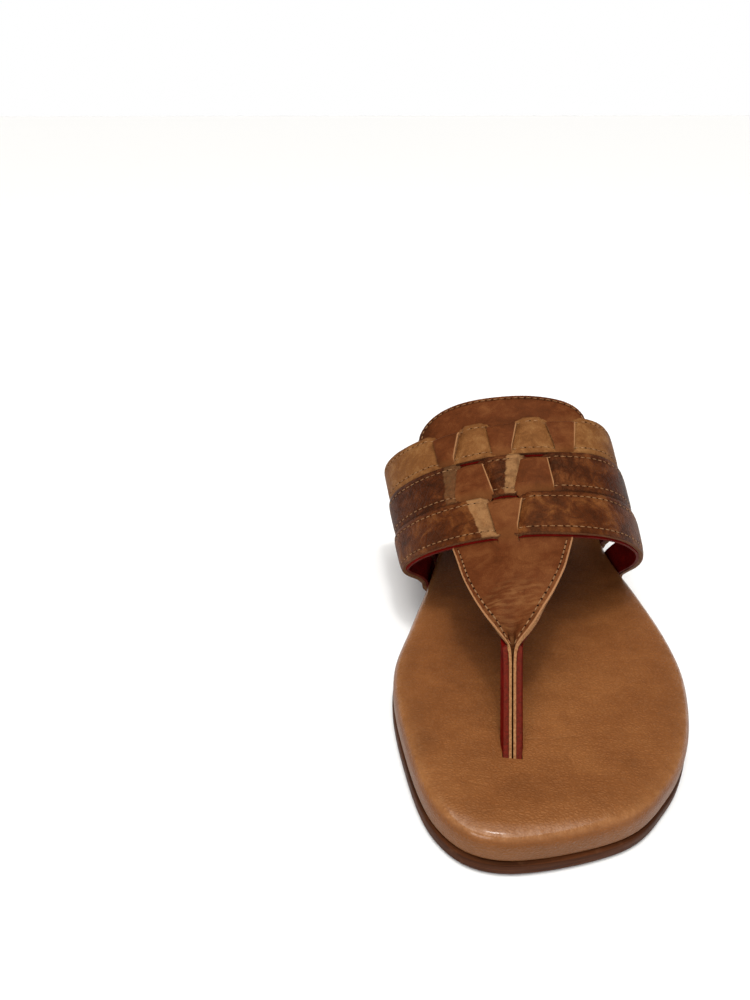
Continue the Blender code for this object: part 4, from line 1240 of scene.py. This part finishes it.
def stitch_nodes():
    """Repeats one bead along the mesh's lines: a stitch, or the flat dark bead of painted shade at a needle
    hole.
    """
    tree = bpy.data.node_groups.new("stitch_row", "GeometryNodeTree")
    for name, kind, value in (("Line", "Geometry", None), ("Pitch", "Float", PITCH * MM),
                              ("Bead", "Vector", (1, 1, 1)), ("Shift", "Vector", (0, 0, 0)),
                              ("Seed", "Int", 3), ("Finish", "Material", None)):
        socket = tree.interface.new_socket(name, in_out="INPUT", socket_type="NodeSocket" + kind)
        if value is not None:
            socket.default_value = value
    tree.interface.new_socket("Stitches", in_out="OUTPUT", socket_type="NodeSocketGeometry")
    given, out = tree.nodes.new("NodeGroupInput"), tree.nodes.new("NodeGroupOutput")
    link = tree.links.new
    curve = tree.nodes.new("GeometryNodeMeshToCurve")
    link(given.outputs["Line"], curve.inputs["Mesh"])
    spaced = tree.nodes.new("GeometryNodeResampleCurve")
    spaced.mode = "LENGTH"
    link(curve.outputs["Curve"], spaced.inputs["Curve"])
    link(given.outputs["Pitch"], spaced.inputs["Length"])
    bead = tree.nodes.new("GeometryNodeMeshUVSphere")
    bead.inputs["Segments"].default_value = 8
    bead.inputs["Rings"].default_value = 5
    bead.inputs["Radius"].default_value = 0.5
    lying = tree.nodes.new("GeometryNodeTransform")
    lying.inputs["Rotation"].default_value = (0, math.pi / 2, 0)
    link(bead.outputs["Mesh"], lying.inputs["Geometry"])
    place = tree.nodes.new("GeometryNodeInputPosition")
    parts = tree.nodes.new("ShaderNodeSeparateXYZ")
    link(place.outputs[0], parts.inputs[0])
    angle = add_node(tree, "ShaderNodeMath", operation="ARCTAN2")
    link(parts.outputs["Y"], angle.inputs[0])
    link(parts.outputs["Z"], angle.inputs[1])
    twist = add_node(tree, "ShaderNodeMath", operation="MULTIPLY_ADD")
    link(parts.outputs["X"], twist.inputs[0])
    twist.inputs[1].default_value = 16.0
    link(angle.outputs[0], twist.inputs[2])
    strand = tree.nodes.new("GeometryNodeStoreNamedAttribute")
    strand.inputs["Name"].default_value = "strand"
    link(lying.outputs["Geometry"], strand.inputs["Geometry"])
    link(twist.outputs[0], strand.inputs["Value"])
    sized = tree.nodes.new("GeometryNodeTransform")
    link(strand.outputs["Geometry"], sized.inputs["Geometry"])
    link(given.outputs["Bead"], sized.inputs["Scale"])
    tangent = tree.nodes.new("GeometryNodeInputTangent")
    along = tree.nodes.new("FunctionNodeAlignRotationToVector")
    along.axis = "X"
    link(tangent.outputs[0], along.inputs["Vector"])
    up = tree.nodes.new("GeometryNodeInputNamedAttribute")
    up.data_type = "FLOAT_VECTOR"
    up.inputs["Name"].default_value = "up"
    upright = tree.nodes.new("FunctionNodeAlignRotationToVector")
    upright.axis, upright.pivot_axis = "Z", "X"
    link(along.outputs[0], upright.inputs["Rotation"])
    link(up.outputs["Attribute"], upright.inputs["Vector"])
    uneven = tree.nodes.new("FunctionNodeRandomValue")
    uneven.data_type = "FLOAT_VECTOR"
    uneven.inputs[0].default_value = (0.86, 0.85, 0.8)
    uneven.inputs[1].default_value = (1.08, 1.12, 1.15)
    link(given.outputs["Seed"], uneven.inputs["Seed"])
    row = tree.nodes.new("GeometryNodeInstanceOnPoints")
    link(spaced.outputs["Curve"], row.inputs["Points"])
    link(sized.outputs["Geometry"], row.inputs["Instance"])
    link(upright.outputs[0], row.inputs["Rotation"])
    link(uneven.outputs[0], row.inputs["Scale"])
    moved = tree.nodes.new("GeometryNodeTranslateInstances")
    link(row.outputs["Instances"], moved.inputs["Instances"])
    link(given.outputs["Shift"], moved.inputs["Translation"])
    real = tree.nodes.new("GeometryNodeRealizeInstances")
    link(moved.outputs["Instances"], real.inputs["Geometry"])
    finish = tree.nodes.new("GeometryNodeSetMaterial")
    link(real.outputs["Geometry"], finish.inputs["Geometry"])
    link(given.outputs["Finish"], finish.inputs["Material"])
    link(finish.outputs["Geometry"], out.inputs["Stitches"])
    return tree


def thread_material():
    made, tree, shader = new_material("waxed_thread", 0.55, 0.4)
    strand = add_node(tree, "ShaderNodeAttribute", attribute_name="strand")
    ply = maths(tree, "SINE", maths(tree, "MULTIPLY", strand.outputs["Fac"], 2.0))
    place = add_node(tree, "ShaderNodeTexCoord").outputs["Object"]
    fuzz = noise(tree, place, Scale=900.0, Detail=3.0)
    # the ply's twist is painted in lighter and darker bands: a painted shade in the grooves between plies,
    # beside the bump
    tone = ramp(tree, maths(tree, "MULTIPLY_ADD", ply, 0.25, fuzz.outputs["Fac"]),
                ((0.25, srgb(104, 68, 40)), (0.75, srgb(176, 132, 92))))
    tree.links.new(tone, shader.inputs["Base Color"])
    emboss(tree, shader, ply, 0.5, 0.0002)
    return made


# painted shade: the dark colour of a needle hole's recess, put on a flat bead, with a little speckle
def needle_hole_shade_material():
    made, tree, shader = new_material("needle_hole_painted_shade", 0.8, 0.1)
    place = add_node(tree, "ShaderNodeTexCoord").outputs["Object"]
    shade_speckle = noise(tree, place, Scale=800.0, Detail=2.0)
    tree.links.new(ramp(tree, shade_speckle.outputs["Fac"], ((0.3, srgb(18, 8, 4)), (0.7, srgb(48, 24, 12)))),
                   shader.inputs["Base Color"])
    return made


stitch_tree = stitch_nodes()
thread, hole = thread_material(), needle_hole_shade_material()


def stitch_line_object(name, chains):
    """Lines of (points, normals) in pattern millimetres as an edge mesh with its normals."""
    points, edges, ups = [], [], []
    for places, normals in chains:
        first = len(points)
        points += ((places + BALL) * MM).tolist()
        ups += normals.tolist()
        edges += [(first + k, first + k + 1) for k in range(len(places) - 1)]
    mesh = bpy.data.meshes.new(name)
    mesh.from_pydata(points, edges, [])
    up = mesh.attributes.new("up", "FLOAT_VECTOR", "POINT")
    up.data.foreach_set("vector", np.array(ups, np.float32).ravel())
    line = bpy.data.objects.new(name, mesh)
    bpy.context.scene.collection.objects.link(line)
    return line


def sew(name, chains, seed):
    """The stitches along some lines, as one plain mesh of threads and one of dark beads painting the needle
    holes' shade.
    """
    for word, bead, shift, finish in (("threads", THREAD_BEAD, (0, 0, 0.04), thread),
                                      ("needle_hole_shades", HOLE_SHADE_BEAD, (PITCH / 2, 0, 0.03), hole)):
        line = stitch_line_object(f"{name}_{word}", chains)
        rows = line.modifiers.new("stitches", "NODES")
        rows.node_group = stitch_tree
        sockets = {item.name: item.identifier for item in stitch_tree.interface.items_tree}
        rows[sockets["Pitch"]] = PITCH * MM
        rows[sockets["Bead"]] = [b * MM for b in bead]
        rows[sockets["Shift"]] = [d * MM for d in shift]
        rows[sockets["Seed"]] = seed
        rows[sockets["Finish"]] = finish
        made = bpy.data.meshes.new_from_object(line.evaluated_get(bpy.context.evaluated_depsgraph_get()))
        line.modifiers.clear()
        line.data = made
        made.shade_smooth()
        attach(line, "root")


def split_chains(places, normals, kept):
    chains, start = [], None
    for k, keep in enumerate(list(kept) + [False]):
        if keep and start is None:
            start = k
        elif not keep and start is not None:
            if k - start > 4:
                chains.append((places[start:k], normals[start:k]))
            start = None
    return chains


for row, (name, (low, high)) in enumerate(ROWS.items()):
    chains = []
    for along in (low + STITCH_INSET, high - STITCH_INSET):
        run = section(along)[2]
        across = np.arange(run[0] + SEWN_FROM, run[-1] - SEWN_FROM, 0.8)
        places = on_vamp(across, along, strap_height(row, across, along, STITCH_INSET), (low + high) / 2)
        open_air = under_strip(row, across, along, 0.5, 0.3) < 0.5
        chains += split_chains(places, on_vamp_normals(across, along), open_air)
    sew(name, chains, 3 + row)

panel_chains = []
front_normals = surface_normals(front_part)
for side in (0, 1):
    places, ups = [], []
    for line, normal in zip(front_part[POST_ROWS + 2:], front_normals[POST_ROWS + 2:]):
        if side:
            line, normal = line[::-1], normal[::-1]
        run = lengths(line)
        places.append(read_off([PANEL_STITCH_INSET], run, line)[0])
        ups.append(read_off([PANEL_STITCH_INSET], run, normal)[0])
    panel_chains.append((np.array(places), np.array(ups)))
share = np.linspace(0, 1, 61)
medial, lateral = panel_edge(TONGUE_START)
outline = np.column_stack([medial + (lateral - medial) * share,
                           TONGUE_START + np.array([tongue_reach(q) for q in share])])
outline = even_chain(outline, 90)
step = np.gradient(outline, axis=0)
step /= np.linalg.norm(step, axis=1)[:, None]
sewn = (outline + np.column_stack([step[:, 1], -step[:, 0]]) * PANEL_STITCH_INSET)[3:-3]
places = np.concatenate([on_vamp(np.array([a]), v, np.array([SUNK])) for a, v in sewn])
panel_chains.append((places, np.concatenate([on_vamp_normals(np.array([a]), v) for a, v in sewn])))
sew("vamp_panel", panel_chains, 9)
